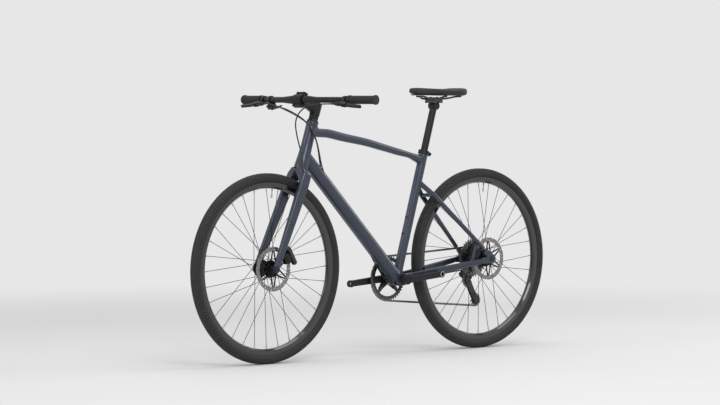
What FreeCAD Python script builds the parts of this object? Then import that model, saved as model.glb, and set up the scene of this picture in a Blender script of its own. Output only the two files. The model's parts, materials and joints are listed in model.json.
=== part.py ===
import FreeCAD, Part
import math
import os

V = FreeCAD.Vector
X_AXIS = V(1, 0, 0)
Y_AXIS = V(0, 1, 0)
Z_AXIS = V(0, 0, 1)

# Layout of the bike in millimetres and degrees: +X forward, +Y to the rider's left, ground at zero
WHEELBASE = 1090.0
TYRE_RADIUS = 350.0
CHAINSTAY_LENGTH = 443.0
BOTTOM_BRACKET_DROP = 64.0
HEAD_ANGLE = 71.5
SEAT_ANGLE = 73.3
FORK_RAKE = 45.0
FORK_LENGTH = 397.0
HEAD_TUBE_LENGTH = 182.0
SEAT_TUBE_LENGTH = 508.0

# Clearances shared by all pieces
BODY_GAP = 0.3
RUNNING_FIT = 0.06
SEAT_FIT = 0.1
CUT_OVERRUN = 5.0
LOFT_STEPS = 4

# Head tube and headset
HEAD_TUBE_TOP_RADIUS = 22.5
HEAD_TUBE_WAIST_RADIUS = 21.5
HEAD_TUBE_BOTTOM_RADIUS = 27.5
HEAD_TUBE_LIP = 9.0
HEAD_TUBE_FLARE = 45.0
HEAD_TUBE_WALL = 2.6
STEERER_RADIUS = 14.3
STEERER_BASE_RADIUS = 19.8
STEERER_TAPER = 90.0
BEARING_HEIGHT = 7.5
HEADSET_COVER_HEIGHT = 10.0
SPACER_HEIGHT = 9.0
SPACER_COUNT = 2
SPACER_WALL = 3.6
TOP_CAP_HEIGHT = 5.0

# Main tubes
DOWN_TUBE_WIDTH = 48.0
DOWN_TUBE_DEPTH = 50.0
DOWN_TUBE_HEAD_WIDTH = 42.0
DOWN_TUBE_JOIN = 50.0
TOP_TUBE_HEAD_WIDTH = 36.0
TOP_TUBE_HEAD_DEPTH = 34.0
TOP_TUBE_SEAT_WIDTH = 29.0
TOP_TUBE_SEAT_DEPTH = 23.0
TOP_TUBE_GUSSET_DEPTH = 38.0
TOP_TUBE_GUSSET_LENGTH = 42.0
TOP_TUBE_HEAD_JOIN = 30.0
TOP_TUBE_SEAT_JOIN = 32.0
TOP_TUBE_ARCH = 7.0
TUBE_WALL = 2.2
MAIN_TUBE_CORNER_share = 0.42
SEAT_TUBE_RADIUS = 17.4
SEATPOST_RADIUS = 13.6
SHELL_RADIUS = 23.0
SHELL_WIDTH = 73.0
SHELL_BORE = 17.2

# Stays and dropouts
REAR_HUB_WIDTH = 142.0
DROPOUT_THICKNESS = 9.0
DROPOUT_BOSS_RADIUS = 17.0
DROPOUT_CHAINSTAY_REACH = 52.0
DROPOUT_CHAINSTAY_RADIUS = 10.0
DROPOUT_SEATSTAY_REACH = 46.0
DROPOUT_SEATSTAY_RADIUS = 8.5
CHAINSTAY_ROOT_Y = 21.0
CHAINSTAY_RING_Y = 34.5
CHAINSTAY_ROOT_WIDTH = 20.0
CHAINSTAY_RING_WIDTH = 13.0
CHAINSTAY_ROOT_DEPTH = 34.0
CHAINSTAY_END_DEPTH = 19.0
CHAINSTAY_END_WIDTH = 12.0
CHAINSTAY_STATION_shares = (0.22, 0.52, 0.86)
STAY_CORNER_share = 0.4
SEATSTAY_JOIN = 383.0
SEATSTAY_ROOT_Y = 8.5
SEATSTAY_TYRE_Y = 34.0
SEATSTAY_ROOT_WIDTH = 15.0
SEATSTAY_ROOT_DEPTH = 20.0
SEATSTAY_END_WIDTH = 11.0
SEATSTAY_END_DEPTH = 15.0
SEATSTAY_STATION_shares = (0.16, 0.5, 0.86)
BRIDGE_SETBACK_share = 0.17
BRIDGE_RADIUS = 7.0
BRIDGE_BOLT_RADIUS = 4.0
BRIDGE_BOLT_Y = 9.0
HANGER_BACK = 10.0
HANGER_DROP = 29.0
HANGER_RADIUS = 9.5
HANGER_THICKNESS = 8.0
COLLAR_HEIGHT = 14.0
COLLAR_WALL = 4.0
COLLAR_LUG_DEPTH = 11.0
COLLAR_LUG_WIDTH = 20.0
COLLAR_SLOT = 2.0
BOSS_THREAD_RADIUS = 2.5
BOSS_FLANGE_RADIUS = 5.5
BOSS_FLANGE_HEIGHT = 1.8
BOSS_SPACING = 64.0
SEAT_BOSS_PLACE = 175.0
DOWN_BOSS_PLACE = 215.0
CUP_RADIUS = 21.5
CUP_WIDTH = 10.5
SPINDLE_RADIUS = 12.0
THRU_AXLE_RADIUS = 6.0
AXLE_HEAD_RADIUS = 10.0
AXLE_HEAD_HEIGHT = 4.0
AXLE_SOCKET_RADIUS = 3.5

# Wheels
TYRE_WIDTH = 40.0
TYRE_CASING = 3.2
BEAD_SEAT_RADIUS = 311.0
BEAD_WIDTH = 3.6
RIM_OUTER_WIDTH = 25.0
RIM_FLANGE = 1.9
RIM_FLANGE_HEIGHT = 5.6
RIM_WELL_DEPTH = 3.0
RIM_DEPTH = 17.0
RIM_SIDE_share = 0.42
RIM_NOSE_WIDTH = 13.0
SPOKES_PER_SIDE = 16
SPOKE_CROSSES = 3
SPOKE_RADIUS = 1.0
SPOKE_HEAD_RADIUS = 1.9
SPOKE_HEAD_HEIGHT = 1.0
SPOKE_LIFT = 0.85
NIPPLE_RADIUS = 2.1
NIPPLE_LENGTH = 12.0
FLANGE_HOLE_CIRCLE = 29.0
FLANGE_RADIUS = 32.5
FLANGE_THICKNESS = 3.0
HUB_CORE_RADIUS = 14.0
HUB_END_RADIUS = 9.5
FRONT_HUB_WIDTH = 100.0
FRONT_LEFT_FLANGE_Y = 23.0
FRONT_RIGHT_FLANGE_Y = -33.0
REAR_LEFT_FLANGE_Y = 33.0
REAR_RIGHT_FLANGE_Y = -20.0
FRONT_ROTOR_SETBACK = 10.5
REAR_ROTOR_SETBACK = 15.5
VALVE_RADIUS = 3.0
VALVE_LENGTH = 34.0
VALVE_CAP_share = 0.55
VALVE_STEM_share = 0.75

# Brake rotors, callipers and pads
ROTOR_RADIUS = 82.0
ROTOR_TRACK = 16.0
ROTOR_THICKNESS = 1.8
ROTOR_BORE = 17.5
ROTOR_HUB_RADIUS = 27.0
ROTOR_ARMS = 6
ROTOR_ARM_WIDTH = 5.6
ROTOR_HOLE_RADIUS = 2.3
ROTOR_HOLES = 30
ROTOR_SCALLOPS = 15
ROTOR_SCALLOP_DEPTH = 1.6
ROTOR_SCALLOP_SHIFT_share = 0.5
ROTOR_ARM_LEAN_share = 0.46
ROTOR_HOLE_shares = (0.3, 0.62)
ROTOR_BOLT_CIRCLE = 22.0
ROTOR_BOLT_RADIUS = 2.5
ROTOR_BOLT_HEAD = 4.0
PAD_THICKNESS = 3.4
PAD_LENGTH = 24.0
PAD_HEIGHT = 15.0
PAD_GAP = 0.4
CALLIPER_LENGTH = 42.0
CALLIPER_HEIGHT = 27.0
CALLIPER_INSET = 23.0
CALLIPER_WIDTH = 29.0
CALLIPER_CORNER_share = 0.3
CALLIPER_PISTON_RADIUS = 10.5
CALLIPER_PISTON_PROUD = 1.2
CALLIPER_SLOT_ROOM = 1.5
CALLIPER_FOOT_OFFSET = 2.2
CALLIPER_FOOT_THICKNESS = 5.9
CALLIPER_FOOT_RADIUS = 10.0
CALLIPER_FOOT_RISE = 12.0
CALLIPER_FOOT_SPAN = 58.0
CALLIPER_BOLT_RADIUS = 3.0
CALLIPER_TAB_RADIUS = 7.0
CALLIPER_TAB_THICKNESS = 6.5
BANJO_RADIUS = 4.5
BANJO_LENGTH = 9.0
FRONT_CALLIPER_TURN = 150.0
REAR_CALLIPER_TURN = 18.0

# Hoses and gear cable
STRAIGHT_TURN = 0.002
ROUTE_ARC_share = 0.45
HOSE_RADIUS = 2.5
CABLE_RADIUS = 2.2
CHANNEL_CLEARANCE = 0.8
HANGER_BOLT_RADIUS = 4.5

# Chain and sprockets
CHAIN_PITCH = 12.7
CHAINLINE = 47.0
ROLLER_RADIUS = 3.85
TOOTH_SEAT_CLEARANCE = 0.15
TOOTH_RISE = 2.9
TOOTH_THICKNESS = 1.8
TOOTH_SEAT_ANGLE = 72.0
TOOTH_TIP_share = 0.16
INNER_GAP = 2.3
LINK_PLATE = 0.9
LINK_PLATE_GAP = 0.1
LINK_PLATE_RADIUS = 4.1
LINK_WAIST_share = 0.72
PIN_RADIUS = 1.8
PIN_PROUD = 0.2
CHAINRING_TEETH = 42
DRIVEN_COG = 4
COG_TEETH = (11, 13, 15, 18, 21, 24, 28, 32, 36)
COG_PITCH = 4.34
PULLEY_TEETH = 11
FREEHUB_RADIUS = 17.0
COG_RIM = 9.0
COG_WINDOWS = 6
LOCKRING_RADIUS = 15.5
LOCKRING_HEIGHT = 2.4

# Cranks
CRANK_LENGTH = 171.0
CRANK_TURN = 5.0
CRANK_BOSS_RADIUS = 19.0
CRANK_BOSS_WIDTH = 19.0
CRANK_EYE_RADIUS = 13.5
CRANK_EYE_WIDTH = 13.0
CRANK_EYE_Y = 71.0
CRANK_ARM_DEPTH = 27.0
CRANK_ARM_WIDTH = 14.0
CRANK_CORNER_share = 0.34
PEDAL_THREAD_RADIUS = 7.14
BOLT_CIRCLE = 52.0
SPIDER_ARMS = 4
SPIDER_ARM_WIDTH = 15.0
SPIDER_THICKNESS = 4.0
RING_TAB_RADIUS = 8.0
RING_BAND = 13.0
RING_BOLT_RADIUS = 4.0
RING_BOLT_HEAD = 6.5
CRANK_CAP_RADIUS = 11.0
CRANK_CAP_HEIGHT = 2.5
PINCH_SLOT = 2.2
PINCH_BOLT_RADIUS = 2.6

# Rear derailleur
GUIDE_FORWARD = 14.0
GUIDE_DROP = 88.0
CAGE_LENGTH = 90.0
CAGE_LEAN = 27.0
CAGE_PLATE = 1.6
CAGE_GAP = 3.8
CAGE_GUIDE_RADIUS = 13.0
CAGE_TENSION_RADIUS = 11.0
CAGE_PIVOT_BACK = 9.0
CAGE_PIVOT_UP = 5.0
CAGE_SHAFT_RADIUS = 4.0
CAGE_SHAFT_LENGTH = 15.0
PULLEY_BOLT_RADIUS = 2.4
PULLEY_HUB_RADIUS = 7.0
PULLEY_HUB_WIDTH = 6.6
LINK_LENGTH = 40.0
LINK_SPREAD = 18.0
LINK_THICKNESS = 9.0
LINK_END_RADIUS = 5.5
LINK_PIN_RADIUS = 2.4
LINK_SLANT = 45.0
LINK_SWING = 27.0
LINK_SWING_STEPS = 6
LINK_RISE = 16.0
LINK_Y = -82.0
KNUCKLE_PLATE = 3.0
KNUCKLE_RADIUS = 7.5
KNUCKLE_WEB = 6.0
KNUCKLE_BARREL_RADIUS = 10.5
KNUCKLE_ARM_RADIUS = 6.5
HANGER_LUG_RADIUS = 9.5
HANGER_LUG_WIDTH = 13.6
CAGE_SEARCH = 14.0
CHAIN_STEPS = 40
SPINDLE_BORE_share = 0.78
PINCH_BOLT_shares = (0.28, 0.72)
PINCH_LENGTH_share = 0.62

# Fork
CROWN_WIDTH = 104.0
CROWN_DEPTH = 46.0
CROWN_SHOULDER = 26.0
CROWN_SHOULDER_Y = 30.0
CROWN_TOP_Y = 8.0
CROWN_BLADE_share = 0.08
CROWN_CORNER_share = 0.36
BLADE_TOP_Y = 40.0
BLADE_MIDDLE_Y = 48.0
BLADE_TOP_WIDTH = 23.0
BLADE_TOP_DEPTH = 43.0
BLADE_MIDDLE_WIDTH = 19.0
BLADE_MIDDLE_DEPTH = 36.0
BLADE_END_WIDTH = 12.0
BLADE_END_DEPTH = 27.0
FORK_END_RADIUS = 14.0
TYRE_ROOM = 9.0
FORK_BOSS_share = 0.52

# Stem, bar and grips
STEM_CLAMP_HEIGHT = 42.0
STEM_CLAMP_WALL = 5.0
STEM_LENGTH = 85.0
STEM_RISE = 7.0
STEM_REAR_WIDTH = 34.0
STEM_REAR_DEPTH = 38.0
STEM_WAIST_WIDTH = 29.0
STEM_WAIST_DEPTH = 31.0
STEM_CORNER_share = 0.3
BAR_CLAMP_RADIUS = 15.9
BAR_CLAMP_WIDTH = 46.0
BAR_CLAMP_WALL = 5.0
FACEPLATE_GAP = 2.5
FACEPLATE_BOLT_RADIUS = 2.5
FACEPLATE_BOLT_Y = 17.0
FACEPLATE_EAR = 8.0
BAR_HALF_WIDTH = 370.0
BAR_CENTRE_HALF = 42.0
BAR_TAPER_END = 95.0
BAR_RADIUS = 11.1
BAR_SWEEP = 9.0
GRIP_LENGTH = 128.0
GRIP_RADIUS = 15.6
GRIP_RING_RADIUS = 17.0
GRIP_RING_WIDTH = 9.0
GRIP_END_RADIUS = 17.8
GRIP_RIBS = 9
GRIP_RIB_HEIGHT = 1.2
GRIP_RIB_GAP_share = 0.35

# Brake levers and shifter, on the bar
LEVER_SETBACK = 17.0
LEVER_DROP = 32.0
LEVER_CLAMP_WIDTH = 13.0
LEVER_CLAMP_WALL = 4.0
LEVER_REACH = 27.0
LEVER_BARREL_RADIUS = 8.5
LEVER_BARREL_IN = 34.0
LEVER_BARREL_OUT = 13.0
LEVER_PIVOT_X = 33.0
LEVER_PIVOT_Y = 22.0
LEVER_PIN_RADIUS = 2.2
LEVER_HALF_THICKNESS = 4.6
LEVER_LUG = 3.0
LEVER_EYE_RADIUS = 6.6
LEVER_KNEE_X = 40.0
LEVER_KNEE_Y = 58.0
LEVER_KNEE_RADIUS = 5.6
LEVER_TIP_X = 45.0
LEVER_TIP_Y = 98.0
LEVER_TIP_RADIUS = 5.0
SHIFTER_SETBACK = 46.0
SHIFTER_DROP = 30.0
POD_RADIUS = 19.0
POD_FORWARD = 9.0
POD_TOP = 15.0
POD_HEIGHT = 13.0
PADDLE_THICKNESS = 3.4
PADDLE_PIVOT_RADIUS = 8.0
PADDLE_TIP_RADIUS = 7.0
PADDLE_BACK = 20.0
PADDLE_IN = 26.0
RELEASE_BACK = 4.0
RELEASE_IN = 33.0
PADDLE_PIN_RADIUS = 3.0

# Seatpost and saddle
POST_INSERT = 110.0
POST_RISE = 180.0
POST_WALL = 2.2
POST_HEAD_RADIUS = 15.0
POST_HEAD_WIDTH = 34.0
CLAMP_LENGTH = 46.0
CLAMP_WIDTH = 54.0
CLAMP_LOWER_HEIGHT = 16.0
CLAMP_UPPER_HEIGHT = 6.0
CLAMP_BOLT_X = 17.0
RAIL_RADIUS = 3.5
RAIL_Y = 22.0
RAIL_HEIGHT = 27.0
RAIL_NOSE_Y = 9.0
RAIL_TAIL_Y = 40.0
SADDLE_LENGTH = 268.0
SADDLE_WIDTH = 134.0
SADDLE_HEIGHT = 30.0
SADDLE_FORWARD = 123.0
SADDLE_BASE = 45.0
SADDLE_SHELL = 5.0
SADDLE_PLACE_shares = (0.0, 0.05, 0.24, 0.45, 0.66, 0.82, 0.93, 1.0)
SADDLE_WIDTH_shares = (0.14, 0.27, 0.33, 0.5, 0.88, 1.0, 0.8, 0.36)
SADDLE_TOP_shares = (0.62, 0.78, 0.78, 0.7, 0.66, 0.72, 0.78, 0.62)
SADDLE_UNDER_shares = (0.3, 0.1, 0.0, 0.0, 0.0, 0.0, 0.05, 0.2)
SADDLE_DROOP_shares = (0.02, 0.02, 0.02, 0.06, 0.22, 0.3, 0.2, 0.02)
SADDLE_SIDE_shares = (0.55, 0.86, 0.84)
SADDLE_SHELL_share = 0.7

# Routes, chosen by hand along the bike
FRONT_HOSE_ROUTE = (
    (424, 108, 951),
    (430, 58, 930),
    (424, 22, 890),
    (414, 19, 842),
    (406, 28, 795),
    (399, 38, 748),
)
REAR_HOSE_ROUTE = (
    (394, -118, 946),
    (394, -62, 930),
    (387, -12, 911),
    (366, 24, 884),
    (345, 36, 850),
    (325, 37, 803),
)
CABLE_ROUTE = (
    (382, -92, 939),
    (377, -44, 922),
    (366, -4, 901),
    (350, 23, 872),
    (335, 29, 838),
    (319, 30, 797),
)
FRONT_HOSE_BLADE_shares = (0.12, 0.3, 0.48)
HOSE_OFFSET_share = 0.2
HOSE_PORT_share = 0.3
RAIL_TAIL_share = 0.86
RAIL_NOSE_share = 0.15
RAIL_LEVEL_share = 0.95
FACEPLATE_BOLT_HEAD = 4.0
HOSE_DOWN_TUBE_shares = (0.86, 0.7, 0.34, 0.12)
HOSE_SAG_share = 0.3
HOSE_SHELL_DROP = 10.0
HOSE_STAY_shares = (0.12, 0.3)
HOSE_BESIDE_share = 0.5
REAR_HOSE_LEAD_share = 0.8
CABLE_STAY_shares = (0.12, 0.3, 0.62)
CABLE_LUG_LEAD = 38.0
CABLE_STAY_LEAD = 47.5
PLATE_ARC_ANGLE = 55.0
SPIDER_TURN_share = 0.5

# Layout worked out from the driving sizes
HEAD_UP = V(-math.cos(math.radians(HEAD_ANGLE)), 0, math.sin(math.radians(HEAD_ANGLE)))
HEAD_FORWARD = V(HEAD_UP.z, 0, -HEAD_UP.x)
SEAT_UP = V(-math.cos(math.radians(SEAT_ANGLE)), 0, math.sin(math.radians(SEAT_ANGLE)))
SEAT_FORWARD = V(SEAT_UP.z, 0, -SEAT_UP.x)
REAR_AXLE = V(-WHEELBASE / 2, 0, TYRE_RADIUS)
FRONT_AXLE = V(WHEELBASE / 2, 0, TYRE_RADIUS)
CRANK_AXIS = REAR_AXLE + V(
    math.sqrt(CHAINSTAY_LENGTH ** 2 - BOTTOM_BRACKET_DROP ** 2),
    0,
    -BOTTOM_BRACKET_DROP,
)
STEERING_FOOT = FRONT_AXLE - HEAD_FORWARD * FORK_RAKE
HEAD_BOTTOM = FORK_LENGTH + BODY_GAP
HEAD_TOP = HEAD_BOTTOM + HEAD_TUBE_LENGTH


def on_head(distance):
    """Point on the steering axis, measured up from beside the front axle."""
    return STEERING_FOOT + HEAD_UP * distance


def on_seat(distance):
    """Point on the seat tube's axis, measured up from the crank axis."""
    return CRANK_AXIS + SEAT_UP * distance


# Helpers for solids
def frame_at(origin, z_axis, y_axis):
    """Placement whose own Z and Y run along the given directions."""
    z = V(z_axis).normalize()
    y = (y_axis - z * y_axis.dot(z)).normalize()
    x = y.cross(z)
    rows = (x.x, y.x, z.x, origin.x, x.y, y.y, z.y, origin.y, x.z, y.z, z.z, origin.z, 0, 0, 0, 1)
    return FreeCAD.Placement(FreeCAD.Matrix(*rows))


def upright_at(origin):
    """Placement that turns a flat outline up into the bike's own plane, growing to the right."""
    return frame_at(origin, -Y_AXIS, Z_AXIS)


def moved(shape, placement):
    copy = shape.copy()
    copy.Placement = placement.multiply(copy.Placement)
    return copy


def mirrored(shape):
    return shape.mirror(V(0, 0, 0), Y_AXIS)


def largest(shape):
    return max(shape.Solids, key=lambda solid: solid.Volume)


def fused(shapes):
    return shapes[0].multiFuse(shapes[1:]).removeSplitter()


def rod(start, end, radius):
    return Part.makeCylinder(radius, (end - start).Length, start, end - start)


def ring(start, end, outer, inner):
    along = (end - start).normalize() * CUT_OVERRUN
    return rod(start, end, outer).cut(rod(start - along, end + along, inner))


def turned(profile, origin, axis):
    """Revolve (radius, height) corners about an axis through the origin."""
    corners = [V(radius, 0, height) for radius, height in profile]
    face = Part.Face(Part.makePolygon(corners + corners[:1]))
    return moved(
        face.revolve(V(0, 0, 0), Z_AXIS, 360),
        frame_at(origin, axis, Y_AXIS if abs(axis.y) < 1 else X_AXIS),
    )


def rounded_outline(depth, width, corner):
    """Rectangle with round corners, depth along its own X and width along its own Y."""
    edges = []
    ends = []
    for quarter, (side_x, side_y) in enumerate(((1, 1), (-1, 1), (-1, -1), (1, -1))):
        centre = V(side_x * (depth / 2 - corner), side_y * (width / 2 - corner), 0)
        turns = [math.radians(90 * quarter + step) for step in (0, 45, 90)]
        arc = [centre + V(math.cos(turn), math.sin(turn), 0) * corner for turn in turns]
        if ends:
            edges.append(Part.LineSegment(ends[-1], arc[0]).toShape())
        edges.append(Part.Arc(*arc).toShape())
        ends.extend((arc[0], arc[2]))
    edges.append(Part.LineSegment(ends[-1], ends[0]).toShape())
    return Part.Wire(edges)


def lofted(stations, corner_share, shrink=0):
    """Loft through rounded sections; a station is its centre, width and depth.

    Each span is stepped so that the loft cannot bulge between far stations.
    """
    dense = [stations[0]]
    for start, end in zip(stations, stations[1:]):
        for step in range(1, LOFT_STEPS + 1):
            dense.append(tuple(low + (high - low) * (step / LOFT_STEPS) for low, high in zip(start, end)))
    wires = []
    last = len(dense) - 1
    for index, (centre, width, depth) in enumerate(dense):
        along = dense[min(index + 1, last)][0] - dense[max(index - 1, 0)][0]
        corner = corner_share * min(width, depth) - shrink * corner_share
        outline = rounded_outline(depth - 2 * shrink, width - 2 * shrink, corner)
        wires.append(moved(outline, frame_at(centre, along, Y_AXIS)))
    return Part.makeLoft(wires, True, False)


def hollow(stations, corner_share, wall):
    return lofted(stations, corner_share).cut(lofted(stations, corner_share, wall))


def link_outline(first, first_radius, second, second_radius):
    """Flat plate outline: two round ends joined by their outer tangents."""
    line = second - first
    heading = math.atan2(line.y, line.x)
    lean = math.acos((first_radius - second_radius) / line.Length)

    def on_circle(centre, radius, turn):
        return centre + V(math.cos(turn), math.sin(turn), 0) * radius

    far = [on_circle(second, second_radius, heading + turn) for turn in (-lean, 0, lean)]
    near = [on_circle(first, first_radius, heading + turn) for turn in (lean, math.pi, -lean)]
    edges = [
        Part.Arc(*far).toShape(),
        Part.LineSegment(far[2], near[0]).toShape(),
        Part.Arc(*near).toShape(),
        Part.LineSegment(near[2], far[0]).toShape(),
    ]
    return Part.Face(Part.Wire(edges))


def flat(point):
    """A point of the bike's plane as a point of an upright outline."""
    return V(point.x, point.z, 0)


def upright_link(first, first_radius, second, second_radius, low_y, high_y):
    """Plate along the bike's plane between two round ends, filling a stretch of Y."""
    face = link_outline(flat(first), first_radius, flat(second), second_radius)
    return moved(face.extrude(V(0, 0, high_y - low_y)), upright_at(V(0, high_y, 0)))


def route_wire(points):
    """Straight runs joined by the largest tangent arcs that share the runs."""
    edges = []
    radii = []
    start = points[0]
    for before, corner, after in zip(points, points[1:], points[2:]):
        into = (corner - before).normalize()
        out = (after - corner).normalize()
        half_turn = into.getAngle(out) / 2
        if half_turn < STRAIGHT_TURN:
            continue
        reach = ROUTE_ARC_share * min((corner - before).Length, (after - corner).Length)
        radius = reach / math.tan(half_turn)
        inward = (out - into).normalize()
        middle = corner + inward * (radius / math.cos(half_turn) - radius)
        edges.append(Part.LineSegment(start, corner - into * reach).toShape())
        start = corner + out * reach
        edges.append(Part.Arc(corner - into * reach, middle, start).toShape())
        radii.append(round(radius))
    edges.append(Part.LineSegment(start, points[-1]).toShape())
    return Part.Wire(edges), radii


def hose(points, radius, name):
    """Round hose along a route, checked against its section times its length."""
    wire, radii = route_wire(points)
    circle = Part.Wire(Part.makeCircle(radius, points[0], points[1] - points[0]))
    solid = wire.makePipeShell([circle], True, False)
    if name:
        ideal = math.pi * radius ** 2 * wire.Length
        print(
            name,
            "length",
            round(wire.Length),
            "radii",
            radii,
            "volume ratio",
            round(solid.Volume / ideal, 4),
        )
    return solid


def save(name, *solids):
    """Write a node; several solids stay separate in one file."""
    shape = solids[0] if len(solids) == 1 else Part.makeCompound(list(solids))
    shape.exportStep("parts/" + name + ".step")


# Frame
def head_tube_solid():
    profile = (
        (0, 0),
        (HEAD_TUBE_BOTTOM_RADIUS, 0),
        (HEAD_TUBE_BOTTOM_RADIUS, HEAD_TUBE_LIP),
        (HEAD_TUBE_WAIST_RADIUS + HEAD_TUBE_WALL, HEAD_TUBE_FLARE),
        (HEAD_TUBE_WAIST_RADIUS, HEAD_TUBE_LENGTH / 2),
        (HEAD_TUBE_WAIST_RADIUS, HEAD_TUBE_LENGTH - HEAD_TUBE_LIP * 2),
        (HEAD_TUBE_TOP_RADIUS, HEAD_TUBE_LENGTH - HEAD_TUBE_LIP),
        (HEAD_TUBE_TOP_RADIUS, HEAD_TUBE_LENGTH),
        (0, HEAD_TUBE_LENGTH),
    )
    return turned(profile, on_head(HEAD_BOTTOM), HEAD_UP)


LOWER_BEARING_RADIUS = HEAD_TUBE_BOTTOM_RADIUS - HEAD_TUBE_WALL
UPPER_BEARING_RADIUS = HEAD_TUBE_TOP_RADIUS - HEAD_TUBE_WALL


def head_tube():
    waist_bore = HEAD_TUBE_WAIST_RADIUS - HEAD_TUBE_WALL
    bore = (
        (0, -CUT_OVERRUN),
        (LOWER_BEARING_RADIUS, -CUT_OVERRUN),
        (LOWER_BEARING_RADIUS, BEARING_HEIGHT),
        (STEERER_BASE_RADIUS + HEAD_TUBE_WALL, BEARING_HEIGHT),
        (waist_bore - HEAD_TUBE_WALL, HEAD_TUBE_LENGTH / 2),
        (waist_bore - HEAD_TUBE_WALL, HEAD_TUBE_LENGTH - BEARING_HEIGHT),
        (UPPER_BEARING_RADIUS, HEAD_TUBE_LENGTH - BEARING_HEIGHT),
        (UPPER_BEARING_RADIUS, HEAD_TUBE_LENGTH + CUT_OVERRUN),
        (0, HEAD_TUBE_LENGTH + CUT_OVERRUN),
    )
    return head_tube_solid().cut(turned(bore, on_head(HEAD_BOTTOM), HEAD_UP))


def headset_bearings():
    low = on_head(HEAD_BOTTOM)
    high = on_head(HEAD_TOP)
    lower = ring(
        low,
        low + HEAD_UP * BEARING_HEIGHT,
        LOWER_BEARING_RADIUS - RUNNING_FIT,
        STEERER_BASE_RADIUS + BODY_GAP,
    )
    upper = ring(
        high - HEAD_UP * BEARING_HEIGHT,
        high,
        UPPER_BEARING_RADIUS - RUNNING_FIT,
        STEERER_RADIUS + RUNNING_FIT,
    )
    return lower, upper


def shell_solid():
    half = Y_AXIS * (SHELL_WIDTH / 2)
    return rod(CRANK_AXIS - half, CRANK_AXIS + half, SHELL_RADIUS)


def seat_tube_solid():
    return rod(CRANK_AXIS, on_seat(SEAT_TUBE_LENGTH), SEAT_TUBE_RADIUS)


def seat_tube():
    top = on_seat(SEAT_TUBE_LENGTH + CUT_OVERRUN)
    tube = seat_tube_solid().cut(rod(CRANK_AXIS, top, SEATPOST_RADIUS + RUNNING_FIT))
    tube = largest(tube.cut(shell_solid()))
    return tube.cut(Part.makeCompound(boss_holes(seat_boss_places(), SEAT_FORWARD)))


DOWN_TUBE_END = on_head(HEAD_BOTTOM + DOWN_TUBE_JOIN)
DOWN_TUBE_ALONG = (DOWN_TUBE_END - CRANK_AXIS).normalize()
DOWN_TUBE_UP = V(-DOWN_TUBE_ALONG.z, 0, DOWN_TUBE_ALONG.x)


def down_tube(channels):
    stations = [
        (CRANK_AXIS, SHELL_WIDTH - 2 * CUT_OVERRUN, SHELL_RADIUS * 2 - 2 * TUBE_WALL),
        (CRANK_AXIS + DOWN_TUBE_ALONG * DOWN_BOSS_PLACE / 2, DOWN_TUBE_WIDTH, DOWN_TUBE_DEPTH),
        (DOWN_TUBE_END - DOWN_TUBE_ALONG * DOWN_BOSS_PLACE / 2, DOWN_TUBE_WIDTH, DOWN_TUBE_DEPTH),
        (DOWN_TUBE_END, DOWN_TUBE_HEAD_WIDTH, DOWN_TUBE_DEPTH),
    ]
    tube = hollow(stations, MAIN_TUBE_CORNER_share, TUBE_WALL)
    for neighbour in (head_tube_solid(), shell_solid(), seat_tube_solid()):
        tube = largest(tube.cut(neighbour))
    holes = boss_holes(down_boss_places(), DOWN_TUBE_UP)
    return largest(tube.cut(Part.makeCompound(holes + channels)))


TOP_TUBE_HEAD = on_head(HEAD_TOP - TOP_TUBE_HEAD_JOIN)
TOP_TUBE_SEAT = on_seat(SEAT_TUBE_LENGTH - TOP_TUBE_SEAT_JOIN)


def top_tube():
    along = (TOP_TUBE_SEAT - TOP_TUBE_HEAD).normalize()
    arch = Z_AXIS * TOP_TUBE_ARCH
    drop = Z_AXIS * ((TOP_TUBE_GUSSET_DEPTH - TOP_TUBE_SEAT_DEPTH) / 2)
    middle = (TOP_TUBE_HEAD + TOP_TUBE_SEAT) / 2
    middle_width = (TOP_TUBE_HEAD_WIDTH + TOP_TUBE_SEAT_WIDTH) / 2
    middle_depth = (TOP_TUBE_HEAD_DEPTH + TOP_TUBE_SEAT_DEPTH) / 2
    gusset = SEAT_TUBE_RADIUS + TOP_TUBE_GUSSET_LENGTH
    stations = [
        (TOP_TUBE_HEAD, TOP_TUBE_HEAD_WIDTH, TOP_TUBE_HEAD_DEPTH),
        (middle + arch, middle_width, middle_depth),
        (TOP_TUBE_SEAT - along * gusset, TOP_TUBE_SEAT_WIDTH, TOP_TUBE_SEAT_DEPTH),
        (TOP_TUBE_SEAT - drop, TOP_TUBE_SEAT_WIDTH, TOP_TUBE_GUSSET_DEPTH),
    ]
    tube = hollow(stations, MAIN_TUBE_CORNER_share, TUBE_WALL)
    return largest(largest(tube.cut(head_tube_solid())).cut(seat_tube_solid()))


DROPOUT_INNER_Y = REAR_HUB_WIDTH / 2
DROPOUT_OUTER_Y = DROPOUT_INNER_Y + DROPOUT_THICKNESS
SEATSTAY_ROOT = on_seat(SEATSTAY_JOIN)
TO_CRANK = (CRANK_AXIS - REAR_AXLE).normalize()
TO_SEATSTAY = (SEATSTAY_ROOT - REAR_AXLE).normalize()


def dropout():
    """Left dropout plate: a boss round the axle with an arm to each stay."""
    low = REAR_AXLE + TO_CRANK * DROPOUT_CHAINSTAY_REACH
    high = REAR_AXLE + TO_SEATSTAY * DROPOUT_SEATSTAY_REACH
    arms = [
        upright_link(REAR_AXLE, DROPOUT_BOSS_RADIUS, end, radius, DROPOUT_INNER_Y, DROPOUT_OUTER_Y)
        for end, radius in ((low, DROPOUT_CHAINSTAY_RADIUS), (high, DROPOUT_SEATSTAY_RADIUS))
    ]
    hole = rod(REAR_AXLE, REAR_AXLE + Y_AXIS * (DROPOUT_OUTER_Y + CUT_OVERRUN), THRU_AXLE_RADIUS + SEAT_FIT)
    return fused(arms).cut(hole)


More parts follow.
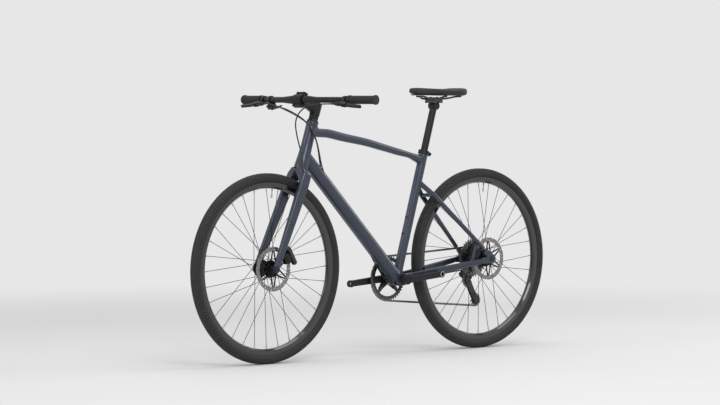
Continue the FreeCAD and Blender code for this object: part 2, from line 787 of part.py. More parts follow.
def chainstay_centre(share):
    """Left chainstay's middle at a share of the way from the crank axis to the dropout."""
    ring_share = CHAINSTAY_STATION_shares[0]
    end_y = DROPOUT_INNER_Y + DROPOUT_THICKNESS / 2
    if share <= ring_share:
        y = CHAINSTAY_ROOT_Y + (CHAINSTAY_RING_Y - CHAINSTAY_ROOT_Y) * share / ring_share
    else:
        y = CHAINSTAY_RING_Y + (end_y - CHAINSTAY_RING_Y) * (share - ring_share) / (
            CHAINSTAY_STATION_shares[-1] - ring_share
        )
    return CRANK_AXIS - TO_CRANK * (CHAINSTAY_LENGTH * share) + Y_AXIS * y


def chainstay_depth(share):
    return CHAINSTAY_ROOT_DEPTH + (CHAINSTAY_END_DEPTH - CHAINSTAY_ROOT_DEPTH) * share


def chainstay():
    """Left chainstay with its dropout welded on."""
    widths = (CHAINSTAY_ROOT_WIDTH, CHAINSTAY_RING_WIDTH, CHAINSTAY_RING_WIDTH, CHAINSTAY_END_WIDTH)
    stations = [
        (chainstay_centre(share), width, chainstay_depth(share))
        for share, width in zip((0,) + CHAINSTAY_STATION_shares, widths)
    ]
    stay = lofted(stations, STAY_CORNER_share)
    stay = largest(largest(stay.cut(shell_solid())).cut(seat_tube_solid()))
    return fused([stay, dropout()])


def seatstay_centre(share):
    """Left seatstay's middle at a share of the way from the seat tube to the axle."""
    tyre_share = SEATSTAY_STATION_shares[0]
    end_y = DROPOUT_INNER_Y + DROPOUT_THICKNESS / 2
    if share <= tyre_share:
        y = SEATSTAY_ROOT_Y + (SEATSTAY_TYRE_Y - SEATSTAY_ROOT_Y) * share / tyre_share
    else:
        y = SEATSTAY_TYRE_Y + (end_y - SEATSTAY_TYRE_Y) * (share - tyre_share) / (
            SEATSTAY_STATION_shares[-1] - tyre_share
        )
    return SEATSTAY_ROOT + (REAR_AXLE - SEATSTAY_ROOT) * share + Y_AXIS * y


def seatstay(lower):
    """Left seatstay, cut where it meets the seat tube and the dropout."""
    shares = (0,) + SEATSTAY_STATION_shares
    stations = []
    for share in shares:
        width = SEATSTAY_ROOT_WIDTH + (SEATSTAY_END_WIDTH - SEATSTAY_ROOT_WIDTH) * share
        depth = SEATSTAY_ROOT_DEPTH + (SEATSTAY_END_DEPTH - SEATSTAY_ROOT_DEPTH) * share
        stations.append((seatstay_centre(share), width, depth))
    stay = lofted(stations, STAY_CORNER_share)
    return largest(largest(stay.cut(seat_tube_solid())).cut(lower))


def seatstay_bridge(left, right):
    """Cross tube between the stays, with two bolts that hold a mudguard or carrier."""
    end = seatstay_centre(BRIDGE_SETBACK_share)
    bridge = rod(V(end.x, -end.y, end.z), end, BRIDGE_RADIUS)
    return largest(bridge.cut(left).cut(right))


def bridge_bolts():
    centre = seatstay_centre(BRIDGE_SETBACK_share)
    along = (SEATSTAY_ROOT - REAR_AXLE).normalize()
    up = V(along.z, 0, -along.x) * -1
    bolts = []
    for side in (1, -1):
        seat = V(centre.x, side * BRIDGE_BOLT_Y, centre.z) + up * (BRIDGE_RADIUS + SEAT_FIT)
        bolts.append(rod(seat, seat + up * BRIDGE_BOLT_RADIUS, BRIDGE_BOLT_RADIUS))
    return bolts


def seat_boss_places():
    return [
        on_seat(SEAT_BOSS_PLACE + step * BOSS_SPACING) + SEAT_FORWARD * SEAT_TUBE_RADIUS
        for step in (0, 1)
    ]


def down_boss_places():
    return [
        CRANK_AXIS + DOWN_TUBE_ALONG * (
            DOWN_BOSS_PLACE + step * BOSS_SPACING
        ) + DOWN_TUBE_UP * (DOWN_TUBE_DEPTH / 2)
        for step in (0, 1)
    ]


def boss_holes(places, up):
    """Holes through a tube wall for the threaded inserts."""
    shank = BOSS_THREAD_RADIUS + TUBE_WALL / 2 + SEAT_FIT
    return [
        rod(place - up * (TUBE_WALL + CUT_OVERRUN), place + up * CUT_OVERRUN, shank)
        for place in places
    ]


def bosses(places, up):
    """Threaded inserts: a flange on the tube and a shank through its wall."""
    inserts = []
    shank = BOSS_THREAD_RADIUS + TUBE_WALL / 2
    for place in places:
        flange = rod(place + up * SEAT_FIT, place + up * BOSS_FLANGE_HEIGHT, BOSS_FLANGE_RADIUS)
        body = rod(place - up * (TUBE_WALL + BOSS_FLANGE_HEIGHT), place + up * BOSS_FLANGE_HEIGHT, shank)
        thread = rod(place - up * (TUBE_WALL + CUT_OVERRUN), place + up * CUT_OVERRUN, BOSS_THREAD_RADIUS)
        inserts.append(fused([flange, body]).cut(thread))
    return inserts


def hanger():
    """Bolt-on derailleur hanger, outside the right dropout."""
    low_y = -DROPOUT_OUTER_Y - HANGER_THICKNESS
    bolt = HANGER_BOLT
    plate = upright_link(REAR_AXLE, DROPOUT_BOSS_RADIUS, bolt, HANGER_RADIUS, low_y, -DROPOUT_OUTER_Y)
    cuts = [
        rod(V(centre.x, low_y - CUT_OVERRUN, centre.z), V(centre.x, -DROPOUT_INNER_Y, centre.z), radius)
        for centre, radius in (
            (REAR_AXLE, AXLE_HEAD_RADIUS + SEAT_FIT),
            (bolt, HANGER_BOLT_RADIUS + SEAT_FIT),
        )
    ]
    return plate.cut(Part.makeCompound(cuts))


HANGER_BOLT = REAR_AXLE - X_AXIS * HANGER_BACK - Z_AXIS * HANGER_DROP


def seat_collar():
    """Clamp ring at the top of the seat tube with a slotted lug and bolt behind."""
    low = on_seat(SEAT_TUBE_LENGTH - COLLAR_HEIGHT)
    high = on_seat(SEAT_TUBE_LENGTH)
    inner = SEAT_TUBE_RADIUS + SEAT_FIT
    outer = inner + COLLAR_WALL
    band = rod(low, high, outer)
    lug = Part.makeBox(COLLAR_LUG_DEPTH, COLLAR_LUG_WIDTH, COLLAR_HEIGHT, V(0, -COLLAR_LUG_WIDTH / 2, 0))
    lug = moved(
        lug,
        frame_at(low - SEAT_FORWARD * (outer + COLLAR_LUG_DEPTH - COLLAR_WALL), SEAT_UP, Y_AXIS),
    )
    slot = Part.makeBox(outer + COLLAR_LUG_DEPTH, COLLAR_SLOT, COLLAR_HEIGHT * 2, V(0, -COLLAR_SLOT / 2, 0))
    slot = moved(
        slot,
        frame_at(low - SEAT_FORWARD * (outer + COLLAR_LUG_DEPTH) - SEAT_UP * CUT_OVERRUN, SEAT_UP, Y_AXIS),
    )
    bolt_at = (low + high) / 2 - SEAT_FORWARD * (outer + COLLAR_LUG_DEPTH / 2 - COLLAR_WALL / 2)
    half = Y_AXIS * (COLLAR_LUG_WIDTH / 2)
    hole = rod(bolt_at - half * 2, bolt_at + half * 2, BOSS_THREAD_RADIUS + SEAT_FIT)
    bore = rod(low - SEAT_UP * CUT_OVERRUN, high + SEAT_UP * CUT_OVERRUN, inner)
    collar = fused([band, lug]).cut(bore).cut(slot).cut(hole)
    head = rod(bolt_at + half, bolt_at + half + Y_AXIS * COLLAR_WALL, COLLAR_WALL)
    bolt = fused([rod(bolt_at - half, bolt_at + half, BOSS_THREAD_RADIUS), head])
    return collar, bolt


def bottom_bracket_cups():
    """Threaded bearing cups, one outside each end of the shell."""
    face = Y_AXIS * (SHELL_WIDTH / 2)
    cups = []
    for side in (1, -1):
        start = CRANK_AXIS + face * side
        flange = rod(start, start + Y_AXIS * (side * CUP_WIDTH), CUP_RADIUS)
        skirt = rod(start - Y_AXIS * (side * CUP_WIDTH), start, SHELL_BORE - SEAT_FIT)
        hole = rod(CRANK_AXIS - face * 2, CRANK_AXIS + face * 2, SPINDLE_RADIUS + RUNNING_FIT)
        cups.append(fused([flange, skirt]).cut(hole))
    return cups


def bottom_bracket_shell():
    face = Y_AXIS * (SHELL_WIDTH / 2 + CUT_OVERRUN)
    return shell_solid().cut(rod(CRANK_AXIS - face, CRANK_AXIS + face, SHELL_BORE))


def thru_axle(centre, half_width, thickness):
    """Axle through both dropouts with a flat head and hexagon-key socket on the left."""
    end = centre + Y_AXIS * (half_width + thickness)
    head = rod(end + Y_AXIS * SEAT_FIT, end + Y_AXIS * AXLE_HEAD_HEIGHT, AXLE_HEAD_RADIUS)
    shaft = rod(
        centre - Y_AXIS * (half_width + thickness),
        end + Y_AXIS * AXLE_HEAD_HEIGHT,
        THRU_AXLE_RADIUS,
    )
    socket = rod(end, end + Y_AXIS * (AXLE_HEAD_HEIGHT + CUT_OVERRUN), AXLE_SOCKET_RADIUS)
    return fused([shaft, head]).cut(socket)


# Wheels
def wheel_profile(points_and_arcs, centre):
    """Revolve a closed outline of lines and arcs, given as (y, radius) corners, about a wheel's axle."""
    edges = []
    for corner_list in points_and_arcs:
        corners = [V(radius, 0, y) for y, radius in corner_list]
        curve = Part.Arc(*corners) if len(corners) == 3 else Part.LineSegment(*corners)
        edges.append(curve.toShape())
    solid = Part.Face(Part.Wire(edges)).revolve(V(0, 0, 0), Z_AXIS, 360)
    return moved(solid, frame_at(centre, Y_AXIS, Z_AXIS))


def tyre(centre):
    """Open casing: a round crown, walls that tuck in above the rim and two beads."""
    half = TYRE_WIDTH / 2
    middle = TYRE_RADIUS - half
    lip = BEAD_SEAT_RADIUS + RIM_FLANGE_HEIGHT + SEAT_FIT
    wall = math.sqrt(half ** 2 - (middle - lip) ** 2)
    outside = RIM_OUTER_WIDTH / 2 - RIM_FLANGE - SEAT_FIT
    inside = outside - BEAD_WIDTH
    seat = BEAD_SEAT_RADIUS + SEAT_FIT
    outline = [
        [(-wall, lip), (0, TYRE_RADIUS), (wall, lip)],
        [(wall, lip), (outside, lip)],
        [(outside, lip), (outside, seat)],
        [(outside, seat), (inside, seat)],
        [(inside, seat), (inside, lip + TYRE_CASING)],
        [(inside, lip + TYRE_CASING), (0, TYRE_RADIUS - TYRE_CASING), (-inside, lip + TYRE_CASING)],
        [(-inside, lip + TYRE_CASING), (-inside, seat)],
        [(-inside, seat), (-outside, seat)],
        [(-outside, seat), (-outside, lip)],
        [(-outside, lip), (-wall, lip)],
    ]
    return wheel_profile(outline, centre)


RIM_INNER_RADIUS = BEAD_SEAT_RADIUS - RIM_DEPTH


def rim(centre):
    """Disc-brake rim: hooked flanges, a well between the bead seats and a rounded spoke bed."""
    half = RIM_OUTER_WIDTH / 2
    flange = half - RIM_FLANGE
    top = BEAD_SEAT_RADIUS + RIM_FLANGE_HEIGHT
    shelf = flange - BEAD_WIDTH
    well = shelf - RIM_WELL_DEPTH
    floor = BEAD_SEAT_RADIUS - RIM_WELL_DEPTH
    shoulder = RIM_INNER_RADIUS + RIM_DEPTH * RIM_SIDE_share
    nose = RIM_NOSE_WIDTH / 2
    bed = RIM_INNER_RADIUS + RIM_FLANGE
    right = [
        (half, top),
        (flange, top),
        (flange, BEAD_SEAT_RADIUS),
        (shelf, BEAD_SEAT_RADIUS),
        (well, floor),
    ]
    left = [(-y, radius) for y, radius in reversed(right)]
    corners = right + left + [(-half, shoulder), (-nose, bed)]
    outline = [list(pair) for pair in zip(corners, corners[1:])]
    outline.append([(-nose, bed), (0, RIM_INNER_RADIUS), (nose, bed)])
    outline.append([(nose, bed), (half, shoulder)])
    outline.append([(half, shoulder), (half, top)])
    return wheel_profile(outline, centre)


def valve(centre):
    """Valve stem with its cap, pointing at the axle between two spokes near the top of the rim."""
    turn = math.pi / 2 + math.pi / (2 * SPOKES_PER_SIDE)
    outward = V(math.cos(turn), 0, math.sin(turn))
    start = centre + outward * (RIM_INNER_RADIUS - BODY_GAP)
    end = start - outward * VALVE_LENGTH
    cap = start - outward * (VALVE_LENGTH * VALVE_CAP_share)
    return fused([rod(start, end, VALVE_RADIUS * VALVE_STEM_share), rod(cap, end, VALVE_RADIUS)])


def spoke(centre, flange_y, side, trailing, hub_turn):
    """One spoke with its head, elbow and nipple, from a flange hole to the rim."""
    outward = side if trailing else -side
    lean = (1 if trailing else -1) * SPOKE_CROSSES * 2 * math.pi / SPOKES_PER_SIDE
    lift = FLANGE_THICKNESS / 2 + SPOKE_RADIUS + (SPOKE_LIFT if trailing else SEAT_FIT)
    radial = V(math.cos(hub_turn), 0, math.sin(hub_turn)) * FLANGE_HOLE_CIRCLE
    elbow = centre + radial + Y_AXIS * (flange_y + outward * lift)
    under = centre + radial + Y_AXIS * (flange_y - outward * (FLANGE_THICKNESS / 2 + SEAT_FIT))
    rim_turn = hub_turn + lean
    toward = V(math.cos(rim_turn), 0, math.sin(rim_turn))
    seat = centre + toward * (RIM_INNER_RADIUS - NIPPLE_RADIUS / 2)
    along = (seat - elbow).normalize()
    head_end = under - Y_AXIS * (outward * SPOKE_HEAD_HEIGHT)
    pieces = [
        rod(elbow, seat - along * (NIPPLE_LENGTH / 2), SPOKE_RADIUS),
        Part.makeSphere(SPOKE_RADIUS, elbow),
        rod(elbow, under, SPOKE_RADIUS),
        rod(under, head_end, SPOKE_HEAD_RADIUS),
        rod(seat - along * NIPPLE_LENGTH, seat, NIPPLE_RADIUS),
    ]
    return fused(pieces)


def spokes(centre, left_y, right_y):
    """Both sides of the wheel, crossed three times, half trailing and half leading."""
    pitch = 2 * math.pi / SPOKES_PER_SIDE
    every = []
    for flange_y, side, offset in ((left_y, 1, 0), (right_y, -1, pitch / 2)):
        for trailing, start in ((True, offset), (False, offset + pitch)):
            first = spoke(centre, flange_y, side, trailing, start)
            for step in range(SPOKES_PER_SIDE // 2):
                copy = first.copy()
                copy.rotate(centre, Y_AXIS, math.degrees(2 * pitch * step))
                every.append(copy)
    return every


def hub(centre, left_y, right_y, left_end, right_end, rotor_y):
    """Turned hub shell with two drilled flanges, a rotor seat on the left and a bore for the axle."""
    half = FLANGE_THICKNESS / 2
    neck = HUB_CORE_RADIUS + FLANGE_THICKNESS
    seat = rotor_y - ROTOR_THICKNESS / 2 - SEAT_FIT
    pilot = ROTOR_BORE - SEAT_FIT
    bore = THRU_AXLE_RADIUS + RUNNING_FIT
    profile = [
        (bore, right_end),
        (HUB_END_RADIUS, right_end),
        (HUB_CORE_RADIUS, min(right_y - 2 * FLANGE_THICKNESS, right_end + HUB_END_RADIUS / 2)),
        (neck, right_y - half),
        (FLANGE_RADIUS, right_y - half),
        (FLANGE_RADIUS, right_y + half),
        (neck, right_y + half),
        (HUB_CORE_RADIUS, right_y + neck),
        (HUB_CORE_RADIUS, left_y - neck),
        (neck, left_y - half),
        (FLANGE_RADIUS, left_y - half),
        (FLANGE_RADIUS, left_y + half),
        (neck, left_y + half),
        (ROTOR_HUB_RADIUS, seat - FLANGE_THICKNESS),
        (ROTOR_HUB_RADIUS, seat),
        (pilot, seat),
        (pilot, seat + 2 * ROTOR_THICKNESS),
        (HUB_END_RADIUS, seat + 2 * FLANGE_THICKNESS),
        (HUB_END_RADIUS, left_end),
        (bore, left_end),
    ]
    body = turned(profile, centre, Y_AXIS)
    holes = []
    pitch = 2 * math.pi / SPOKES_PER_SIDE
    for flange_y, offset in ((left_y, 0), (right_y, pitch / 2)):
        for step in range(SPOKES_PER_SIDE):
            turn = offset + step * pitch
            place = centre + V(math.cos(turn), 0, math.sin(turn)) * FLANGE_HOLE_CIRCLE
            reach = Y_AXIS * FLANGE_THICKNESS
            holes.append(
                rod(
                    place + Y_AXIS * flange_y - reach,
                    place + Y_AXIS * flange_y + reach,
                    SPOKE_RADIUS + SEAT_FIT,
                )
            )
    for place in rotor_bolt_places(centre):
        holes.append(
            rod(
                place + Y_AXIS * (seat - FLANGE_THICKNESS),
                place + Y_AXIS * (seat + CUT_OVERRUN),
                ROTOR_BOLT_RADIUS + SEAT_FIT,
            )
        )
    return body.cut(Part.makeCompound(holes))


def rotor_bolt_places(centre):
    turns = [2 * math.pi * step / ROTOR_ARMS for step in range(ROTOR_ARMS)]
    return [centre + V(math.cos(turn), 0, math.sin(turn)) * ROTOR_BOLT_CIRCLE for turn in turns]


def rotor(centre, rotor_y):
    """Brake disc: a drilled, scalloped track on a zigzag of slanted arms, held by six bolts."""
    low = centre + Y_AXIS * (rotor_y - ROTOR_THICKNESS / 2)
    high = centre + Y_AXIS * (rotor_y + ROTOR_THICKNESS / 2)
    track_inner = ROTOR_RADIUS - ROTOR_TRACK
    pieces = [ring(low, high, ROTOR_RADIUS, track_inner), ring(low, high, ROTOR_HUB_RADIUS, ROTOR_BORE)]
    for step in range(ROTOR_ARMS):
        turn = 2 * math.pi * step / ROTOR_ARMS
        inner = centre + V(math.cos(turn), 0, math.sin(turn)) * (ROTOR_HUB_RADIUS - ROTOR_ARM_WIDTH / 2)
        for way in (1, -1):
            lean = turn + way * ROTOR_ARM_LEAN_share * 2 * math.pi / ROTOR_ARMS
            outer = centre + V(math.cos(lean), 0, math.sin(lean)) * (track_inner + ROTOR_ARM_WIDTH / 2)
            pieces.append(
                upright_link(inner, ROTOR_ARM_WIDTH / 2, outer, ROTOR_ARM_WIDTH / 2 - SEAT_FIT, low.y, high.y)
            )
    disc = fused(pieces)
    reach = Y_AXIS * CUT_OVERRUN
    cuts = []
    for step in range(ROTOR_HOLES):
        turn = 2 * math.pi * step / ROTOR_HOLES
        radius = track_inner + ROTOR_TRACK * ROTOR_HOLE_shares[step % len(ROTOR_HOLE_shares)]
        place = V(math.cos(turn), 0, math.sin(turn)) * radius
        cuts.append(rod(low + place - reach, high + place + reach, ROTOR_HOLE_RADIUS))
    for step in range(ROTOR_SCALLOPS):
        turn = 2 * math.pi * (step + ROTOR_SCALLOP_SHIFT_share) / ROTOR_SCALLOPS
        scallop = ROTOR_TRACK / 2
        place = V(math.cos(turn), 0, math.sin(turn)) * (ROTOR_RADIUS + scallop - ROTOR_SCALLOP_DEPTH)
        cuts.append(rod(low + place - reach, high + place + reach, scallop))
    bolts = []
    for place in rotor_bolt_places(centre):
        cuts.append(
            rod(
                place + Y_AXIS * low.y - reach,
                place + Y_AXIS * high.y + reach,
                ROTOR_BOLT_RADIUS + SEAT_FIT,
            )
        )
        start = place + Y_AXIS * (low.y - FLANGE_THICKNESS / 2)
        cap = place + Y_AXIS * (high.y + SEAT_FIT)
        end = cap + Y_AXIS * ROTOR_BOLT_RADIUS
        bolts.append(fused([rod(start, end, ROTOR_BOLT_RADIUS), rod(cap, end, ROTOR_BOLT_HEAD)]))
    return [disc.cut(Part.makeCompound(cuts))] + bolts


# Brakes
def calliper_axes(turn):
    """Directions away from the axle and along the rotor at a calliper."""
    out = V(math.cos(math.radians(turn)), 0, math.sin(math.radians(turn)))
    return out, V(-out.z, 0, out.x)


def calliper_feet(axle, turn):
    """The two bolt holes of a calliper, the forward or lower one last."""
    out, along = calliper_axes(turn)
    middle = axle + out * (ROTOR_RADIUS + CALLIPER_FOOT_RISE)
    return [middle + along * (CALLIPER_FOOT_SPAN / 2 * end) for end in (1, -1)]


def calliper(axle, rotor_y, turn):
    """Two-piston calliper over the rotor's edge with a foot plate, bolts and a hose fitting."""
    out, along = calliper_axes(turn)
    plane = axle + Y_AXIS * rotor_y
    base = ROTOR_RADIUS - CALLIPER_INSET
    top = base + CALLIPER_HEIGHT
    taper = CALLIPER_HEIGHT * CALLIPER_CORNER_share
    stations = [
        (plane + out * base, CALLIPER_WIDTH - taper, CALLIPER_LENGTH - taper),
        (plane + out * (base + taper), CALLIPER_WIDTH, CALLIPER_LENGTH),
        (plane + out * (top - taper), CALLIPER_WIDTH, CALLIPER_LENGTH),
        (plane + out * top, CALLIPER_WIDTH - taper, CALLIPER_LENGTH - taper),
    ]
    body = lofted(stations, CALLIPER_CORNER_share)
    piston = plane + out * (ROTOR_RADIUS - ROTOR_TRACK / 2)
    proud = Y_AXIS * (CALLIPER_WIDTH / 2 + CALLIPER_PISTON_PROUD)
    first, second = calliper_feet(axle, turn)
    foot_low = rotor_y + CALLIPER_FOOT_OFFSET
    foot_high = foot_low + CALLIPER_FOOT_THICKNESS
    foot = upright_link(
        first,
        CALLIPER_FOOT_RADIUS,
        second,
        CALLIPER_FOOT_RADIUS - SEAT_FIT,
        foot_low,
        foot_high,
    )
    banjo = plane + out * (top - BANJO_RADIUS) - along * (CALLIPER_LENGTH / 2)
    nipple = rod(banjo + along * BANJO_LENGTH, banjo - along * BANJO_LENGTH, BANJO_RADIUS)
    body = fused([body, rod(piston - proud, piston + proud, CALLIPER_PISTON_RADIUS), foot, nipple])
    slot_half = ROTOR_THICKNESS / 2 + PAD_GAP + PAD_THICKNESS + BODY_GAP
    slot_top = ROTOR_RADIUS + CALLIPER_SLOT_ROOM
    slot = Part.makeBox(2 * CALLIPER_LENGTH, 2 * slot_half, slot_top, V(-CALLIPER_LENGTH, -slot_half, 0))
    slot = moved(slot, frame_at(plane, out, Y_AXIS))
    clear_foot = Y_AXIS * CUT_OVERRUN
    bolts = []
    holes = []
    for place in (first, second):
        start = place + Y_AXIS * foot_low
        end = place + Y_AXIS * (foot_high + CALLIPER_TAB_THICKNESS)
        holes.append(rod(start - clear_foot, end + clear_foot, CALLIPER_BOLT_RADIUS + SEAT_FIT))
        cap = start - Y_AXIS * SEAT_FIT
        bolts.append(
            fused(
                [
                    rod(cap, end, CALLIPER_BOLT_RADIUS),
                    rod(cap - Y_AXIS * CALLIPER_BOLT_RADIUS, cap, CALLIPER_BOLT_RADIUS * 2),
                ]
            )
        )
    return [largest(body.cut(slot)).cut(Part.makeCompound(holes))] + bolts


def calliper_port(axle, rotor_y, turn):
    """Where the hose meets the calliper's fitting, and the direction it leaves in."""
    out, along = calliper_axes(turn)
    top = ROTOR_RADIUS - CALLIPER_INSET + CALLIPER_HEIGHT
    lead = along * -1
    place = axle + Y_AXIS * rotor_y + out * (top - BANJO_RADIUS) + lead * (
        CALLIPER_LENGTH / 2 + BANJO_LENGTH + SEAT_FIT
    )
    return place, lead


def tab(axle, rotor_y, turn, anchor):
    """Mounting tab that a frame or fork leg holds out to the calliper's feet."""
    first, second = calliper_feet(axle, turn)
    low = rotor_y + CALLIPER_FOOT_OFFSET + CALLIPER_FOOT_THICKNESS + SEAT_FIT
    high = low + CALLIPER_TAB_THICKNESS
    spans = ((first, second), (second, anchor))
    plates = [
        upright_link(start, CALLIPER_TAB_RADIUS, end, CALLIPER_TAB_RADIUS - SEAT_FIT, low, high)
        for start, end in spans
    ]
    return plates


def tab_holes(axle, turn):
    reach = Y_AXIS * REAR_HUB_WIDTH
    return [
        rod(place, place + reach, CALLIPER_BOLT_RADIUS + SEAT_FIT)
        for place in calliper_feet(axle, turn)
    ]


def pads(axle, rotor_y, turn):
    """Two pads, one each side of the rotor, the outer one first."""
    out, along = calliper_axes(turn)
    both = []
    for side in (1, -1):
        near = ROTOR_THICKNESS / 2 + PAD_GAP
        centre = axle + out * (ROTOR_RADIUS - ROTOR_TRACK / 2) + Y_AXIS * (rotor_y + side * near)
        outline = Part.Face(rounded_outline(PAD_LENGTH, PAD_HEIGHT, PAD_HEIGHT * CALLIPER_CORNER_share))
        both.append(moved(outline.extrude(V(0, 0, PAD_THICKNESS)), frame_at(centre, Y_AXIS * side, out)))
    return both


# Chain and sprockets
def pitch_radius(teeth):
    return CHAIN_PITCH / (2 * math.sin(math.pi / teeth))


def sprocket_outline(teeth, phase):
    """Toothed outline: round roller seats, straight flanks and narrow tips."""
    radius = pitch_radius(teeth)
    seat = ROLLER_RADIUS + TOOTH_SEAT_CLEARANCE
    tip = radius + TOOTH_RISE
    sweep = math.radians(TOOTH_SEAT_ANGLE)
    half_pitch = math.pi / teeth
    edges = []
    for tooth in range(teeth):
        turn = phase + 2 * half_pitch * tooth
        out = V(math.cos(turn), math.sin(turn), 0)
        side = V(-out.y, out.x, 0)
        seat_arc = [
            out * (radius - seat * math.cos(a)) + side * (seat * math.sin(a))
            for a in (-sweep, 0, sweep)
        ]
        tips = []
        for share in (1 - TOOTH_TIP_share, 1 + TOOTH_TIP_share):
            angle = turn + half_pitch * share
            tips.append(V(math.cos(angle), math.sin(angle), 0) * tip)
        following = turn + 2 * half_pitch
        out = V(math.cos(following), math.sin(following), 0)
        side = V(-out.y, out.x, 0)
        landing = out * (radius - seat * math.cos(sweep)) - side * (seat * math.sin(sweep))
        edges.append(Part.Arc(*seat_arc).toShape())
        edges.append(Part.LineSegment(seat_arc[2], tips[0]).toShape())
        edges.append(Part.LineSegment(tips[0], tips[1]).toShape())
        edges.append(Part.LineSegment(tips[1], landing).toShape())
    return Part.Wire(edges)


def sprocket(teeth, phase, centre):
    """Toothed plate centred on its own plane."""
    plate = Part.Face(sprocket_outline(teeth, phase)).extrude(V(0, 0, TOOTH_THICKNESS))
    return moved(plate, upright_at(centre + Y_AXIS * (TOOTH_THICKNESS / 2)))


DRIVE_PLANE = V(0, -CHAINLINE, 0)
GUIDE = REAR_AXLE + V(GUIDE_FORWARD, 0, -GUIDE_DROP)


def tension_place(lean):
    """Tension pulley's centre with the cage leaning back by an angle from straight down."""
    return GUIDE + V(-math.sin(math.radians(lean)), 0, -math.cos(math.radians(lean))) * CAGE_LENGTH


class ChainPath:
    """Closed loop of pitch-circle arcs and tangents, walked the way the chain runs."""

    def __init__(self, lean):
        cog = COG_TEETH[DRIVEN_COG]
        wheels = (
            (REAR_AXLE, cog, 1),
            (CRANK_AXIS, CHAINRING_TEETH, 1),
            (tension_place(lean), PULLEY_TEETH, 1),
            (GUIDE, PULLEY_TEETH, -1),
        )
        headings = []
        lengths = []
        for (start, first, first_way), (end, second, second_way) in zip(wheels, wheels[1:] + wheels[:1]):
            line = end - start
            shift = second_way * pitch_radius(second) - first_way * pitch_radius(first)
            length = math.sqrt(line.x ** 2 + line.z ** 2 - shift ** 2)
            headings.append(math.atan2(line.z, line.x) + math.atan2(shift, length))
            lengths.append(length)
        self.pieces = []
        self.length = 0
        for index, (centre, teeth, way) in enumerate(wheels):
            turn = (way * (headings[index - 1] - headings[index])) % (2 * math.pi)
            radius = pitch_radius(teeth)
            start = headings[index - 1] + way * math.pi / 2
            self.add(radius * turn, ("arc", centre, radius, start, way))
            leave = headings[index] + way * math.pi / 2
            point = V(centre.x + radius * math.cos(leave), 0, centre.z + radius * math.sin(leave))
            self.add(lengths[index], ("run", point, headings[index]))

    def add(self, length, piece):
        self.pieces.append((self.length, length, piece))
        self.length += length

    def at(self, place):
        place = place % self.length
        for start, length, piece in self.pieces:
            if place <= start + length:
                break
        ahead = place - start
        if piece[0] == "run":
            return piece[1] + V(math.cos(piece[2]), 0, math.sin(piece[2])) * ahead
        centre, radius, first, way = piece[1:]
        turn = first - way * ahead / radius
        return V(centre.x + radius * math.cos(turn), 0, centre.z + radius * math.sin(turn))

    def pins(self, count):
        """Places of successive pins one pitch apart, and how far the last passes the first."""
        places = [0]
        for _ in range(count):
            here = self.at(places[-1])
            low = places[-1] + CHAIN_PITCH
            high = low + CHAIN_PITCH / 4
            while high - low > RUNNING_FIT / 10000:
                middle = (low + high) / 2
                if (self.at(middle) - here).Length < CHAIN_PITCH:
                    low = middle
                else:
                    high = middle
            places.append(high)
        return places[:-1], places[-1] - self.length


def fitted_chain():
    """Lean of the cage that closes the loop on an even number of links."""
    count = 2 * round(ChainPath(CAGE_LEAN).length / CHAIN_PITCH / 2)
    low = CAGE_LEAN - CAGE_SEARCH
    high = CAGE_LEAN + CAGE_SEARCH
    rising = ChainPath(high).pins(count)[1] > ChainPath(low).pins(count)[1]
    for _ in range(CHAIN_STEPS):
        middle = (low + high) / 2
        if (ChainPath(middle).pins(count)[1] > 0) == rising:
            high = middle
        else:
            low = middle
    path = ChainPath(middle)
    places, error = path.pins(count)
    print("chain links", count, "cage lean", round(middle, 3), "closing error", round(error, 5))
    return middle, [path.at(place) for place in places]


def phase_from(pins, centre, teeth):
    """Turn of a sprocket that puts a roller seat under the pin nearest its pitch circle."""
    radius = pitch_radius(teeth)
    best = min(pins, key=lambda pin: abs((pin - centre).Length - radius))
    return math.atan2(best.z - centre.z, best.x - centre.x)


def plate_outline():
    """Figure-of-eight link plate, one pitch between its round ends."""
    half = CHAIN_PITCH / 2
    waist = LINK_PLATE_RADIUS * LINK_WAIST_share
    spread = math.radians(PLATE_ARC_ANGLE)
    edge = V(half - LINK_PLATE_RADIUS * math.cos(spread), LINK_PLATE_RADIUS * math.sin(spread), 0)
    right = [edge, V(half + LINK_PLATE_RADIUS, 0, 0), V(edge.x, -edge.y, 0)]
    left = [V(-edge.x, -edge.y, 0), V(-half - LINK_PLATE_RADIUS, 0, 0), V(-edge.x, edge.y, 0)]
    edges = [
        Part.Arc(*right).toShape(),
        Part.Arc(right[2], V(0, -waist, 0), left[0]).toShape(),
        Part.Arc(*left).toShape(),
        Part.Arc(left[2], V(0, waist, 0), right[0]).toShape(),
    ]
    return Part.Face(Part.Wire(edges))


def chain_links():
    """One roller link and one pin link, lying flat about their middle."""
    half = CHAIN_PITCH / 2
    inner_from = INNER_GAP / 2
    outer_from = inner_from + LINK_PLATE + LINK_PLATE_GAP
    outer_to = outer_from + LINK_PLATE

    def plates(start):
        solid = plate_outline().extrude(V(0, 0, LINK_PLATE))
        return [
            moved(solid, FreeCAD.Placement(V(0, 0, z), FreeCAD.Rotation()))
            for z in (start, -start - LINK_PLATE)
        ]

    ends = [V(half, 0, 0), V(-half, 0, 0)]
    reach = Z_AXIS * inner_from
    rollers = [rod(end - reach, end + reach, ROLLER_RADIUS) for end in ends]
    past = Z_AXIS * outer_to
    bores = [rod(end - past, end + past, PIN_RADIUS + LINK_PLATE_GAP) for end in ends]
    roller_link = fused(plates(inner_from) + rollers).cut(Part.makeCompound(bores))
    tip = Z_AXIS * (outer_to + PIN_PROUD)
    pins = [rod(end - tip, end + tip, PIN_RADIUS) for end in ends]
    pin_link = fused(plates(outer_from) + pins)
    return roller_link, pin_link


